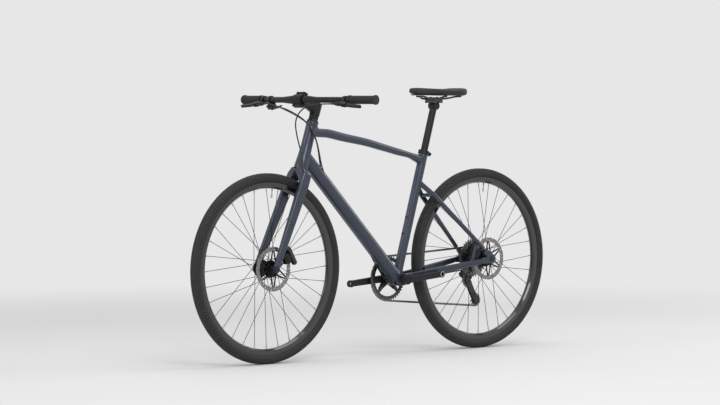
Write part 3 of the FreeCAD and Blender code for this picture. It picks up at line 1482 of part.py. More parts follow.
def chain(pins):
    both = chain_links()
    links = []
    for index, (start, end) in enumerate(zip(pins, pins[1:] + pins[:1])):
        middle = (start + end) / 2 + DRIVE_PLANE
        links.append(moved(both[index % 2], frame_at(middle, -Y_AXIS, (end - start).cross(Y_AXIS))))
    return links


def cassette(pins):
    """Nine cogs on a freehub body, with the lockring outside the smallest."""
    centre = REAR_AXLE
    first_y = -CHAINLINE - DRIVEN_COG * COG_PITCH
    phase = phase_from(pins, centre, COG_TEETH[DRIVEN_COG])
    solids = []
    for index, teeth in enumerate(COG_TEETH):
        middle = centre + Y_AXIS * (first_y + index * COG_PITCH)
        cog = sprocket(teeth, phase, middle)
        reach = Y_AXIS * CUT_OVERRUN
        cuts = [rod(middle - reach, middle + reach, FREEHUB_RADIUS + SEAT_FIT)]
        window = pitch_radius(teeth) - COG_RIM - ROLLER_RADIUS - FREEHUB_RADIUS
        if window > COG_RIM:
            place = FREEHUB_RADIUS + COG_RIM / 2 + window / 2
            for step in range(COG_WINDOWS):
                turn = 2 * math.pi * step / COG_WINDOWS
                hole = middle + V(math.cos(turn), 0, math.sin(turn)) * place
                cuts.append(rod(hole - reach, hole + reach, window / 2))
        solids.append(cog.cut(Part.makeCompound(cuts)))
        if index:
            low = middle - Y_AXIS * (COG_PITCH - TOOTH_THICKNESS / 2)
            high = middle - Y_AXIS * (TOOTH_THICKNESS / 2)
            solids.append(ring(low, high, FREEHUB_RADIUS + COG_RIM / 3, FREEHUB_RADIUS + SEAT_FIT))
    outer_face = centre + Y_AXIS * (first_y - TOOTH_THICKNESS / 2)
    inner_end = centre + Y_AXIS * FREEHUB_INNER_Y
    bore = THRU_AXLE_RADIUS + RUNNING_FIT
    solids.append(ring(outer_face, inner_end, FREEHUB_RADIUS, bore))
    solids.append(
        ring(
            outer_face - Y_AXIS * LOCKRING_HEIGHT,
            outer_face,
            LOCKRING_RADIUS + COG_RIM / 3,
            bore + COG_RIM / 3,
        )
    )
    end = centre - Y_AXIS * (DROPOUT_INNER_Y - BODY_GAP)
    solids.append(ring(end, outer_face, HUB_END_RADIUS - COG_RIM / 3, bore))
    return solids


FREEHUB_INNER_Y = REAR_RIGHT_FLANGE_Y - 2 * FLANGE_THICKNESS - BODY_GAP


# Cranks
RIGHT_ARM = V(math.cos(math.radians(CRANK_TURN)), 0, -math.sin(math.radians(CRANK_TURN)))
CRANK_INNER_Y = SHELL_WIDTH / 2 + CUP_WIDTH + BODY_GAP


def crank_arm(direction, side):
    """Tapered arm with a boss on the spindle and a threaded eye for the pedal."""
    boss_y = CRANK_INNER_Y + CRANK_BOSS_WIDTH / 2
    eye = CRANK_AXIS + direction * CRANK_LENGTH
    stations = [
        (
            CRANK_AXIS + Y_AXIS * (side * boss_y),
            CRANK_BOSS_WIDTH,
            CRANK_BOSS_RADIUS * 2 - CRANK_ARM_WIDTH / 2,
        ),
        (
            CRANK_AXIS + direction * (CRANK_LENGTH / 3) + Y_AXIS * (side * (boss_y + CRANK_EYE_Y) / 2),
            CRANK_ARM_WIDTH,
            CRANK_ARM_DEPTH,
        ),
        (eye + Y_AXIS * (side * CRANK_EYE_Y), CRANK_EYE_WIDTH, CRANK_EYE_RADIUS * 2 - CRANK_ARM_WIDTH / 4),
    ]
    inner = CRANK_AXIS + Y_AXIS * (side * CRANK_INNER_Y)
    outer = inner + Y_AXIS * (side * CRANK_BOSS_WIDTH)
    half_eye = Y_AXIS * (CRANK_EYE_WIDTH / 2)
    eye_centre = eye + Y_AXIS * (side * CRANK_EYE_Y)
    arm = fused([
        lofted(stations, CRANK_CORNER_share),
        rod(inner, outer, CRANK_BOSS_RADIUS),
        rod(eye_centre - half_eye, eye_centre + half_eye, CRANK_EYE_RADIUS),
    ])
    return arm.cut(rod(eye_centre - half_eye * 2, eye_centre + half_eye * 2, PEDAL_THREAD_RADIUS))


def spider_places():
    turns = [2 * math.pi * (step + SPIDER_TURN_share) / SPIDER_ARMS for step in range(SPIDER_ARMS)]
    return [CRANK_AXIS + V(math.cos(turn), 0, math.sin(turn)) * BOLT_CIRCLE for turn in turns]


SPIDER_INNER_Y = -CHAINLINE - TOOTH_THICKNESS / 2 - SEAT_FIT


def crank_right():
    """Right arm with its four-arm spider, and the hollow spindle pressed into its boss."""
    arm = crank_arm(RIGHT_ARM, -1)
    outer_y = SPIDER_INNER_Y - SPIDER_THICKNESS
    arms = [
        upright_link(CRANK_AXIS, CRANK_BOSS_RADIUS, place, SPIDER_ARM_WIDTH / 2, outer_y, SPIDER_INNER_Y)
        for place in spider_places()
    ]
    left_end = CRANK_AXIS + Y_AXIS * (CRANK_INNER_Y + CRANK_BOSS_WIDTH - CRANK_CAP_HEIGHT)
    seat_end = CRANK_AXIS - Y_AXIS * (CRANK_INNER_Y + CRANK_BOSS_WIDTH / 2)
    socket = rod(seat_end - Y_AXIS * SEAT_FIT, left_end, SPINDLE_RADIUS + SEAT_FIT)
    spindle = rod(seat_end, left_end, SPINDLE_RADIUS)
    bore = rod(
        CRANK_AXIS - Y_AXIS * SHELL_WIDTH / 2,
        left_end + Y_AXIS * CUT_OVERRUN,
        SPINDLE_RADIUS * SPINDLE_BORE_share,
    )
    holes = [
        rod(
            place + Y_AXIS * (outer_y - CUT_OVERRUN),
            place + Y_AXIS * (SPIDER_INNER_Y + CUT_OVERRUN),
            RING_BOLT_RADIUS + SEAT_FIT,
        )
        for place in spider_places()
    ]
    return [largest(fused([arm] + arms).cut(Part.makeCompound(holes)).cut(socket)), spindle.cut(bore)]


def crank_left():
    """Left arm clamped on the spindle by two bolts across its slot, with a plastic end cap."""
    direction = RIGHT_ARM * -1
    inner_y = CRANK_INNER_Y - CUT_OVERRUN
    end_y = CRANK_INNER_Y + CRANK_BOSS_WIDTH
    arm = crank_arm(direction, 1)
    bore = rod(
        CRANK_AXIS + Y_AXIS * inner_y,
        CRANK_AXIS + Y_AXIS * (end_y + CUT_OVERRUN),
        SPINDLE_RADIUS + RUNNING_FIT,
    )
    slot = Part.makeBox(
        CRANK_BOSS_RADIUS * 2,
        PINCH_SLOT,
        CRANK_BOSS_WIDTH + 2 * CUT_OVERRUN,
        V(0, -PINCH_SLOT / 2, 0),
    )
    slot = moved(slot, frame_at(CRANK_AXIS + Y_AXIS * inner_y, Y_AXIS, direction.cross(Y_AXIS)))
    bolts = []
    holes = []
    across = direction.cross(Y_AXIS)
    back = CRANK_AXIS - direction * ((SPINDLE_RADIUS + CRANK_BOSS_RADIUS) / 2)
    for share in PINCH_BOLT_shares:
        place = back + Y_AXIS * (CRANK_INNER_Y + CRANK_BOSS_WIDTH * share)
        half = across * (CRANK_BOSS_RADIUS * PINCH_LENGTH_share)
        holes.append(rod(place - half * 2, place + half * 2, PINCH_BOLT_RADIUS + SEAT_FIT))
        bolts.append(rod(place - half, place + half, PINCH_BOLT_RADIUS))
    cap_low = CRANK_AXIS + Y_AXIS * (end_y - CRANK_CAP_HEIGHT + SEAT_FIT)
    cap = rod(cap_low, cap_low + Y_AXIS * CRANK_CAP_HEIGHT, CRANK_CAP_RADIUS)
    return [largest(arm.cut(bore).cut(slot).cut(Part.makeCompound(holes))), cap] + bolts


def chainring(pins):
    """Toothed ring with four bolt tabs, and its bolts."""
    centre = CRANK_AXIS + DRIVE_PLANE
    low = centre - Y_AXIS * (TOOTH_THICKNESS / 2)
    high = centre + Y_AXIS * (TOOTH_THICKNESS / 2)
    reach = Y_AXIS * CUT_OVERRUN
    inner = pitch_radius(CHAINRING_TEETH) - ROLLER_RADIUS - RING_BAND
    toothed = sprocket(CHAINRING_TEETH, phase_from(pins, CRANK_AXIS, CHAINRING_TEETH), centre)
    pieces = [toothed.cut(rod(low - reach, high + reach, inner))]
    holes = []
    bolts = []
    for place in spider_places():
        outer = CRANK_AXIS + (place - CRANK_AXIS) * ((inner + RING_BAND / 2) / BOLT_CIRCLE)
        pieces.append(upright_link(place, RING_TAB_RADIUS, outer, RING_BAND / 2 - SEAT_FIT, low.y, high.y))
        holes.append(
            rod(
                place + Y_AXIS * low.y - reach,
                place + Y_AXIS * high.y + reach,
                RING_BOLT_RADIUS + SEAT_FIT,
            )
        )
        nut = place + Y_AXIS * (high.y + SEAT_FIT)
        head = place + Y_AXIS * (SPIDER_INNER_Y - SPIDER_THICKNESS - SEAT_FIT)
        bolts.append(fused([
            rod(head - Y_AXIS * TOOTH_THICKNESS, nut + Y_AXIS * TOOTH_THICKNESS, RING_BOLT_RADIUS),
            rod(head - Y_AXIS * TOOTH_THICKNESS, head, RING_BOLT_HEAD),
            rod(nut, nut + Y_AXIS * TOOTH_THICKNESS, RING_BOLT_HEAD),
        ]))
    return [fused(pieces).cut(Part.makeCompound(holes))] + bolts


# Rear derailleur
PIVOT_AXIS = V(0, math.cos(math.radians(LINK_SLANT)), math.sin(math.radians(LINK_SLANT)))
LINK_ACROSS = PIVOT_AXIS.cross(X_AXIS)
CAGE_PIVOT = GUIDE + V(-CAGE_PIVOT_BACK, 0, CAGE_PIVOT_UP)
MOVING_MIDDLE = V(CAGE_PIVOT.x, LINK_Y, CAGE_PIVOT.z + LINK_RISE)
FIXED_MIDDLE = MOVING_MIDDLE - X_AXIS * LINK_LENGTH


def parallel_link(side, far_clearance):
    """One side of the derailleur's parallelogram, bored at both ends."""
    fixed = V(0, 0, 0)
    moving = X_AXIS * LINK_LENGTH
    plate = link_outline(
        fixed,
        LINK_END_RADIUS,
        moving,
        LINK_END_RADIUS - SEAT_FIT,
    ).extrude(V(0, 0, LINK_THICKNESS))
    over = Z_AXIS * (LINK_THICKNESS + CUT_OVERRUN)
    under = Z_AXIS * CUT_OVERRUN
    bores = [
        rod(fixed - under, fixed + over, LINK_PIN_RADIUS + RUNNING_FIT),
        rod(moving - under, moving + over, LINK_PIN_RADIUS + far_clearance),
    ]
    place = FIXED_MIDDLE + LINK_ACROSS * (side * LINK_SPREAD / 2) - PIVOT_AXIS * (LINK_THICKNESS / 2)
    return moved(plate.cut(Part.makeCompound(bores)), frame_at(place, PIVOT_AXIS, LINK_ACROSS))


def inner_link_room():
    """Space that the inner link sweeps about its far pin, as the moving knuckle sees it."""
    pin = MOVING_MIDDLE + LINK_ACROSS * (LINK_SPREAD / 2)
    tall = LINK_THICKNESS + BODY_GAP
    plate = link_outline(
        V(0, 0, 0),
        LINK_END_RADIUS + BODY_GAP,
        X_AXIS * LINK_LENGTH,
        LINK_END_RADIUS + BODY_GAP - SEAT_FIT,
    ).extrude(V(0, 0, tall))
    start = FIXED_MIDDLE + LINK_ACROSS * (LINK_SPREAD / 2) - PIVOT_AXIS * (tall / 2)
    room = moved(plate, frame_at(start, PIVOT_AXIS, LINK_ACROSS))
    room = room.cut(rod(pin - PIVOT_AXIS * tall, pin + PIVOT_AXIS * tall, LINK_END_RADIUS - BODY_GAP))
    swept = []
    for step in range(1, LINK_SWING_STEPS + 1):
        turned_room = room.copy()
        turned_room.rotate(pin, PIVOT_AXIS, -LINK_SWING * step / LINK_SWING_STEPS)
        swept.append(turned_room)
    return Part.makeCompound(swept)


def knuckle_fork(middle, way):
    """Two plates and a web that hold a pair of link pins; the web is behind or ahead of them."""
    half = LINK_THICKNESS / 2 + BODY_GAP
    ends = [LINK_ACROSS * (side * LINK_SPREAD / 2) for side in (1, -1)]
    local = frame_at(middle, PIVOT_AXIS, LINK_ACROSS)
    first = V(0, LINK_SPREAD / 2, 0)
    second = V(0, -LINK_SPREAD / 2, 0)
    pieces = []
    for low in (half, -half - KNUCKLE_PLATE):
        plate = link_outline(
            first,
            KNUCKLE_RADIUS,
            second,
            KNUCKLE_RADIUS - SEAT_FIT,
        ).extrude(V(0, 0, KNUCKLE_PLATE))
        pieces.append(moved(moved(plate, FreeCAD.Placement(V(0, 0, low), FreeCAD.Rotation())), local))
    pin_reach = PIVOT_AXIS * (half + KNUCKLE_PLATE)
    pieces += [rod(middle + end - pin_reach, middle + end + pin_reach, LINK_PIN_RADIUS) for end in ends]
    tall = 2 * (half + KNUCKLE_PLATE)
    near = LINK_END_RADIUS + BODY_GAP
    web = Part.makeBox(
        KNUCKLE_WEB,
        LINK_SPREAD,
        tall,
        V(near if way > 0 else -near - KNUCKLE_WEB, -LINK_SPREAD / 2, -tall / 2),
    )
    pieces.append(moved(web, local))
    return pieces


def web_middle(middle, way):
    return middle + X_AXIS * (way * (LINK_END_RADIUS + BODY_GAP + KNUCKLE_ARM_RADIUS))


def base_knuckle():
    """Fixed end of the derailleur: a lug bolted to the hanger and an arm to the links."""
    lug_high = -DROPOUT_OUTER_Y - HANGER_THICKNESS - SEAT_FIT
    lug_at = V(HANGER_BOLT.x, lug_high, HANGER_BOLT.z)
    lug_end = lug_at - Y_AXIS * HANGER_LUG_WIDTH
    web = web_middle(FIXED_MIDDLE, -1)
    elbow = V(web.x, (lug_at.y + lug_end.y) / 2, lug_at.z)
    pieces = knuckle_fork(FIXED_MIDDLE, -1)
    pieces += [
        rod(lug_at, lug_end, HANGER_LUG_RADIUS),
        rod((lug_at + lug_end) / 2, elbow, KNUCKLE_ARM_RADIUS),
        Part.makeSphere(KNUCKLE_ARM_RADIUS + SEAT_FIT, elbow),
        rod(elbow, web, KNUCKLE_ARM_RADIUS),
        rod(lug_end, V(HANGER_BOLT.x, -DROPOUT_OUTER_Y, HANGER_BOLT.z), HANGER_BOLT_RADIUS),
    ]
    return fused(pieces)


def moving_knuckle():
    """Moving end of the derailleur, with the barrel that the cage turns in."""
    barrel_high = CAGE_OUTER_Y - BODY_GAP
    start = V(CAGE_PIVOT.x, barrel_high, CAGE_PIVOT.z)
    end = start - Y_AXIS * CAGE_SHAFT_LENGTH
    web = web_middle(MOVING_MIDDLE, 1)
    pieces = knuckle_fork(MOVING_MIDDLE, 1)
    elbow = V(web.x, (start.y + end.y) / 2, start.z)
    pieces += [
        rod(start, end, KNUCKLE_BARREL_RADIUS),
        rod((start + end) / 2, elbow, KNUCKLE_ARM_RADIUS),
        Part.makeSphere(KNUCKLE_ARM_RADIUS + SEAT_FIT, elbow),
        rod(elbow, web, KNUCKLE_ARM_RADIUS),
    ]
    bore = rod(start + Y_AXIS * CUT_OVERRUN, end - Y_AXIS * CUT_OVERRUN, CAGE_SHAFT_RADIUS + RUNNING_FIT)
    return largest(fused(pieces).cut(bore).cut(inner_link_room()))


CAGE_OUTER_Y = -CHAINLINE - CAGE_GAP - CAGE_PLATE


def cage(lean):
    """Two plates joined by the pulley bolts, with a shaft into the moving knuckle."""
    tension = tension_place(lean)
    pieces = []
    for low in (CAGE_OUTER_Y, -CHAINLINE + CAGE_GAP):
        high = low + CAGE_PLATE
        pieces.append(upright_link(GUIDE, CAGE_GUIDE_RADIUS, tension, CAGE_TENSION_RADIUS, low, high))
    pieces.append(
        upright_link(
            GUIDE,
            CAGE_GUIDE_RADIUS,
            CAGE_PIVOT,
            CAGE_TENSION_RADIUS,
            CAGE_OUTER_Y,
            CAGE_OUTER_Y + CAGE_PLATE,
        )
    )
    inner_y = -CHAINLINE + CAGE_GAP + CAGE_PLATE
    for centre in (GUIDE, tension):
        pieces.append(rod(centre + Y_AXIS * CAGE_OUTER_Y, centre + Y_AXIS * inner_y, PULLEY_BOLT_RADIUS))
    shaft = V(CAGE_PIVOT.x, CAGE_OUTER_Y, CAGE_PIVOT.z)
    pieces.append(rod(shaft, shaft - Y_AXIS * (CAGE_SHAFT_LENGTH + BODY_GAP), CAGE_SHAFT_RADIUS))
    return fused(pieces)


def pulley(centre, pins):
    """Jockey wheel: a toothed plate on a wider hub, lightened by holes."""
    middle = centre + DRIVE_PLANE
    half = Y_AXIS * (PULLEY_HUB_WIDTH / 2)
    wheel = sprocket(PULLEY_TEETH, phase_from(pins, centre, PULLEY_TEETH), middle)
    body = fused([wheel, rod(middle - half, middle + half, PULLEY_HUB_RADIUS)])
    return body.cut(rod(middle - half * 2, middle + half * 2, PULLEY_BOLT_RADIUS + RUNNING_FIT))


# Fork and headset
BLADE_ROOT = on_head(FORK_LENGTH - CROWN_SHOULDER)
BLADE_UP = (BLADE_ROOT - FRONT_AXLE).normalize()
FORK_INNER_Y = FRONT_HUB_WIDTH / 2
STEM_BASE = HEAD_TOP + BODY_GAP + HEADSET_COVER_HEIGHT + SPACER_COUNT * SPACER_HEIGHT
STEM_TOP = STEM_BASE + STEM_CLAMP_HEIGHT
FRONT_ROTOR_Y = FRONT_HUB_WIDTH / 2 - FRONT_ROTOR_SETBACK
REAR_ROTOR_Y = REAR_HUB_WIDTH / 2 - REAR_ROTOR_SETBACK


def blade_centre(share):
    """Left blade's middle at a share of the way from the crown to the axle."""
    end_y = FORK_INNER_Y + BLADE_END_WIDTH / 2
    if share <= 0.5:
        y = BLADE_TOP_Y + (BLADE_MIDDLE_Y - BLADE_TOP_Y) * share * 2
    else:
        y = BLADE_MIDDLE_Y + (end_y - BLADE_MIDDLE_Y) * (share * 2 - 1)
    return BLADE_ROOT + (FRONT_AXLE - BLADE_ROOT) * share + Y_AXIS * y


def fork_leg():
    """Left half of the crown and its blade, cleared for the tyre and the hub."""
    race = FORK_LENGTH
    top_half = HEAD_TUBE_BOTTOM_RADIUS - CROWN_TOP_Y
    shoulder_width = CROWN_WIDTH / 2 - CROWN_SHOULDER_Y
    blade = lofted([
        (on_head(race) + Y_AXIS * CROWN_TOP_Y, 2 * top_half, 2 * HEAD_TUBE_BOTTOM_RADIUS),
        (on_head(race - CROWN_SHOULDER) + Y_AXIS * CROWN_SHOULDER_Y, 2 * shoulder_width, CROWN_DEPTH),
        (blade_centre(CROWN_BLADE_share), BLADE_TOP_WIDTH, BLADE_TOP_DEPTH),
        (blade_centre(0.5), BLADE_MIDDLE_WIDTH, BLADE_MIDDLE_DEPTH),
        (blade_centre(1), BLADE_END_WIDTH, BLADE_END_DEPTH),
    ], CROWN_CORNER_share)
    inner = FRONT_AXLE + Y_AXIS * FORK_INNER_Y
    end = rod(inner, inner + Y_AXIS * BLADE_END_WIDTH, FORK_END_RADIUS)
    block = 2 * FORK_LENGTH
    left = Part.makeBox(block, block, block, V(FRONT_AXLE.x - FORK_LENGTH, 0, 0))
    tunnel = rod(
        FRONT_AXLE - Y_AXIS * CUT_OVERRUN,
        FRONT_AXLE + Y_AXIS * (TYRE_WIDTH / 2 + TYRE_ROOM),
        TYRE_RADIUS + TYRE_ROOM,
    )
    hub_room = rod(FRONT_AXLE, inner, FLANGE_RADIUS)
    above_race = rod(on_head(race), on_head(race + CROWN_SHOULDER), CROWN_WIDTH)
    return largest(fused([blade, end]).common(left).cut(tunnel).cut(hub_room).cut(above_race))


def fork(channel):
    """Steerer, crown, two flat-sided blades and the calliper tab, made as one."""
    leg = fork_leg()
    race = on_head(FORK_LENGTH)
    anchor = FRONT_AXLE + BLADE_UP * (ROTOR_RADIUS + CALLIPER_FOOT_RISE)
    tabs = tab(FRONT_AXLE, FRONT_ROTOR_Y, FRONT_CALLIPER_TURN, anchor)
    taper_end = on_head(HEAD_BOTTOM + STEERER_TAPER)
    upper = [
        rod(on_head(FORK_LENGTH - CROWN_SHOULDER / 2), race, STEERER_BASE_RADIUS),
        Part.makeCone(STEERER_BASE_RADIUS, STEERER_RADIUS, STEERER_TAPER + BODY_GAP, race, HEAD_UP),
        rod(taper_end, on_head(STEM_TOP), STEERER_RADIUS),
    ]
    whole = fused([leg, mirrored(leg)] + tabs + upper)
    outer = Y_AXIS * (FORK_INNER_Y + BLADE_END_WIDTH + CUT_OVERRUN)
    axle = rod(FRONT_AXLE - outer, FRONT_AXLE + outer, THRU_AXLE_RADIUS + SEAT_FIT)
    boss = blade_centre(FORK_BOSS_share)
    hole = rod(boss, boss + Y_AXIS * BLADE_TOP_WIDTH, BOSS_THREAD_RADIUS)
    holes = [axle, hole, mirrored(hole)] + tab_holes(FRONT_AXLE, FRONT_CALLIPER_TURN)
    return largest(whole.cut(Part.makeCompound(holes)).cut(channel))


def headset_spacers():
    """Tapered cover, spacers and top cap stacked on the steerer."""
    start = HEAD_TOP + BODY_GAP
    spacer_radius = STEERER_RADIUS + SPACER_WALL
    bore = STEERER_RADIUS + SEAT_FIT
    cover = turned((
        (bore, 0),
        (HEAD_TUBE_TOP_RADIUS, 0),
        (HEAD_TUBE_TOP_RADIUS, HEADSET_COVER_HEIGHT / 4),
        (spacer_radius, HEADSET_COVER_HEIGHT),
        (bore, HEADSET_COVER_HEIGHT),
    ), on_head(start), HEAD_UP)
    solids = [cover]
    for step in range(SPACER_COUNT):
        low = start + HEADSET_COVER_HEIGHT + step * SPACER_HEIGHT
        solids.append(ring(on_head(low + SEAT_FIT), on_head(low + SPACER_HEIGHT), spacer_radius, bore))
    cap = on_head(STEM_TOP + SEAT_FIT)
    solids.append(turned((
        (0, 0),
        (spacer_radius, 0),
        (spacer_radius - TOP_CAP_HEIGHT / 4, TOP_CAP_HEIGHT),
        (TOP_CAP_HEIGHT, TOP_CAP_HEIGHT),
        (TOP_CAP_HEIGHT, TOP_CAP_HEIGHT / 2),
        (0, TOP_CAP_HEIGHT / 2),
    ), cap, HEAD_UP))
    return solids


# Stem, bar and grips
STEM_ALONG = HEAD_FORWARD * math.cos(math.radians(STEM_RISE)) + HEAD_UP * math.sin(math.radians(STEM_RISE))
STEM_ACROSS = STEM_ALONG.cross(Y_AXIS)
STEM_MIDDLE = on_head((STEM_BASE + STEM_TOP) / 2)
BAR_CENTRE = STEM_MIDDLE + STEM_ALONG * STEM_LENGTH
BAR_CLAMP_OUTER = BAR_CLAMP_RADIUS + BAR_CLAMP_WALL


def bar_clamp():
    """Whole collar round the bar, with ears for the faceplate bolts."""
    half = Y_AXIS * (BAR_CLAMP_WIDTH / 2)
    collar = rod(BAR_CENTRE - half, BAR_CENTRE + half, BAR_CLAMP_OUTER)
    tall = 2 * (BAR_CLAMP_OUTER + FACEPLATE_EAR)
    ears = Part.makeBox(
        tall,
        BAR_CLAMP_WIDTH,
        BAR_CLAMP_RADIUS,
        V(-tall / 2, -BAR_CLAMP_WIDTH / 2, -BAR_CLAMP_RADIUS / 2),
    )
    return fused([collar, moved(ears, frame_at(BAR_CENTRE, STEM_ALONG, Y_AXIS))])


def bar_front(gap):
    """Block that covers everything ahead of the bar's middle."""
    size = STEM_LENGTH * 2
    block = Part.makeBox(size, size, size, V(-size / 2, -size / 2, gap))
    return moved(block, frame_at(BAR_CENTRE, STEM_ALONG, Y_AXIS))


def bar_bore():
    half = Y_AXIS * (BAR_CLAMP_WIDTH / 2 + CUT_OVERRUN)
    return rod(BAR_CENTRE - half, BAR_CENTRE + half, BAR_CLAMP_RADIUS + SEAT_FIT)


def faceplate_bolt_places():
    rise = BAR_CLAMP_OUTER + FACEPLATE_EAR / 2
    return [
        BAR_CENTRE + STEM_ACROSS * (side * rise) + Y_AXIS * (edge * FACEPLATE_BOLT_Y)
        for side in (1, -1)
        for edge in (1, -1)
    ]


def faceplate_holes():
    reach = STEM_ALONG * BAR_CLAMP_OUTER
    return [
        rod(place - reach, place + reach, FACEPLATE_BOLT_RADIUS + SEAT_FIT)
        for place in faceplate_bolt_places()
    ]


def stem():
    """Clamp on the steerer, a waisted body and the rear half of the bar collar."""
    clamp_radius = STEERER_RADIUS + STEM_CLAMP_WALL
    body = lofted([
        (STEM_MIDDLE, STEM_REAR_WIDTH, STEM_REAR_DEPTH),
        (STEM_MIDDLE + STEM_ALONG * (STEM_LENGTH / 2), STEM_WAIST_WIDTH, STEM_WAIST_DEPTH),
        (BAR_CENTRE, BAR_CLAMP_WIDTH, BAR_CLAMP_OUTER * 2 - FACEPLATE_EAR),
    ], STEM_CORNER_share)
    whole = fused([rod(on_head(STEM_BASE + SEAT_FIT), on_head(STEM_TOP), clamp_radius), body, bar_clamp()])
    steerer = rod(
        on_head(STEM_BASE - CUT_OVERRUN),
        on_head(STEM_TOP + CUT_OVERRUN),
        STEERER_RADIUS + SEAT_FIT,
    )
    return largest(
        whole.cut(steerer).cut(bar_bore()).cut(bar_front(-FACEPLATE_GAP / 2)).cut(
            Part.makeCompound(faceplate_holes())
        )
    )


def stem_faceplate():
    """Front half of the bar collar and its four bolts."""
    plate = largest(bar_clamp().common(bar_front(FACEPLATE_GAP / 2)).cut(bar_bore()))
    plate = plate.cut(Part.makeCompound(faceplate_holes()))
    bolts = []
    for place in faceplate_bolt_places():
        head = place + STEM_ALONG * (BAR_CLAMP_RADIUS / 2 + SEAT_FIT)
        shank = rod(place - STEM_ALONG * (BAR_CLAMP_RADIUS / 3), head, FACEPLATE_BOLT_RADIUS)
        bolts.append(
            fused([shank, rod(head, head + STEM_ALONG * FACEPLATE_BOLT_RADIUS, FACEPLATE_BOLT_HEAD)])
        )
    return [plate] + bolts


BAR_OUT = V(-math.sin(math.radians(BAR_SWEEP)), math.cos(math.radians(BAR_SWEEP)), 0)
BAR_FORWARD = V(BAR_OUT.y, -BAR_OUT.x, 0)
BAR_BEND = BAR_CENTRE + Y_AXIS * BAR_TAPER_END
BAR_REACH = (BAR_HALF_WIDTH - BAR_TAPER_END) / BAR_OUT.y


def on_bar(distance):
    """Point on the left half of the bar, measured outward from its bend."""
    return BAR_BEND + BAR_OUT * distance


def handlebar():
    """Flat bar: a fat clamp zone, tapers and swept ends."""
    pieces = [
        rod(BAR_CENTRE - Y_AXIS * BAR_CENTRE_HALF, BAR_CENTRE + Y_AXIS * BAR_CENTRE_HALF, BAR_CLAMP_RADIUS)
    ]
    start = BAR_CENTRE + Y_AXIS * BAR_CENTRE_HALF
    half = fused([
        Part.makeCone(BAR_CLAMP_RADIUS, BAR_RADIUS, BAR_TAPER_END - BAR_CENTRE_HALF, start, Y_AXIS),
        Part.makeSphere(BAR_RADIUS, BAR_BEND),
        rod(BAR_BEND, on_bar(BAR_REACH - GRIP_RING_WIDTH / 2), BAR_RADIUS),
    ])
    return fused(pieces + [half, mirrored(half)])


GRIP_START = BAR_REACH - GRIP_LENGTH


def grip():
    """Left lock-on grip: a clamp ring, a ribbed sleeve and a closed end."""
    bore = BAR_RADIUS + SEAT_FIT
    clamp = ring(on_bar(GRIP_START), on_bar(GRIP_START + GRIP_RING_WIDTH), GRIP_RING_RADIUS, bore)
    low = GRIP_RING_WIDTH + SEAT_FIT
    high = GRIP_LENGTH - GRIP_RING_WIDTH
    profile = [(bore, low), (GRIP_RADIUS - GRIP_RIB_HEIGHT, low)]
    pitch = (high - low) / GRIP_RIBS
    for step in range(GRIP_RIBS):
        start = low + step * pitch
        groove = pitch * GRIP_RIB_GAP_share
        profile += [
            (GRIP_RADIUS - GRIP_RIB_HEIGHT, start + groove),
            (GRIP_RADIUS, start + groove + GRIP_RIB_HEIGHT),
            (GRIP_RADIUS, start + pitch - GRIP_RIB_HEIGHT),
            (GRIP_RADIUS - GRIP_RIB_HEIGHT, start + pitch),
        ]
    profile += [
        (GRIP_END_RADIUS, high + GRIP_RIB_HEIGHT),
        (GRIP_END_RADIUS, GRIP_LENGTH - GRIP_RIB_HEIGHT),
        (GRIP_RADIUS, GRIP_LENGTH),
        (0, GRIP_LENGTH),
        (0, GRIP_LENGTH - GRIP_RING_WIDTH / 2 + SEAT_FIT),
        (bore, GRIP_LENGTH - GRIP_RING_WIDTH / 2 + SEAT_FIT),
    ]
    return [clamp, turned(profile, on_bar(GRIP_START), BAR_OUT)]


def bar_frame(distance, drop):
    """Placement on the left bar: own X forward and tipped down, own Y outward, own Z up."""
    tip = math.radians(drop)
    forward = BAR_FORWARD * math.cos(tip) - Z_AXIS * math.sin(tip)
    return frame_at(on_bar(distance), forward.cross(BAR_OUT), BAR_OUT)


LEVER_FRAME = bar_frame(GRIP_START - LEVER_SETBACK, LEVER_DROP)
SHIFTER_FRAME = bar_frame(GRIP_START - LEVER_SETBACK - SHIFTER_SETBACK, SHIFTER_DROP)


def bar_band(width):
    """Plain clamp band round the bar, in a control's own frame."""
    half = Y_AXIS * (width / 2)
    return rod(half * -1, half, BAR_RADIUS + LEVER_CLAMP_WALL)


def band_bore(width):
    half = Y_AXIS * width
    return rod(half * -1, half, BAR_RADIUS + SEAT_FIT)


def lever_body():
    """Left master cylinder: clamp band, neck, tapered barrel, lugs and the lever's pin."""
    inboard = V(LEVER_REACH, -LEVER_BARREL_IN, 0)
    outboard = V(LEVER_REACH, LEVER_BARREL_OUT, 0)
    taper = LEVER_BARREL_RADIUS * 2
    low = LEVER_HALF_THICKNESS + BODY_GAP
    pivot = V(LEVER_PIVOT_X, LEVER_PIVOT_Y, 0)
    neck = Part.makeBox(
        LEVER_REACH,
        LEVER_CLAMP_WIDTH,
        LEVER_BARREL_RADIUS,
        V(0, -LEVER_CLAMP_WIDTH / 2, -LEVER_BARREL_RADIUS / 2),
    )
    pieces = [
        bar_band(LEVER_CLAMP_WIDTH),
        neck,
        rod(inboard + Y_AXIS * taper, outboard, LEVER_BARREL_RADIUS),
        Part.makeCone(BANJO_RADIUS, LEVER_BARREL_RADIUS, taper, inboard, Y_AXIS),
        rod(pivot - Z_AXIS * (low + LEVER_LUG), pivot + Z_AXIS * (low + LEVER_LUG), LEVER_PIN_RADIUS),
    ]
    root = V(LEVER_REACH, LEVER_BARREL_OUT - LEVER_BARREL_RADIUS, 0)
    for start in (low, -low - LEVER_LUG):
        lug = link_outline(root, LEVER_BARREL_RADIUS, pivot, LEVER_EYE_RADIUS).extrude(V(0, 0, LEVER_LUG))
        pieces.append(moved(lug, FreeCAD.Placement(V(0, 0, start), FreeCAD.Rotation())))
    return moved(fused(pieces).cut(band_bore(LEVER_CLAMP_WIDTH)), LEVER_FRAME)


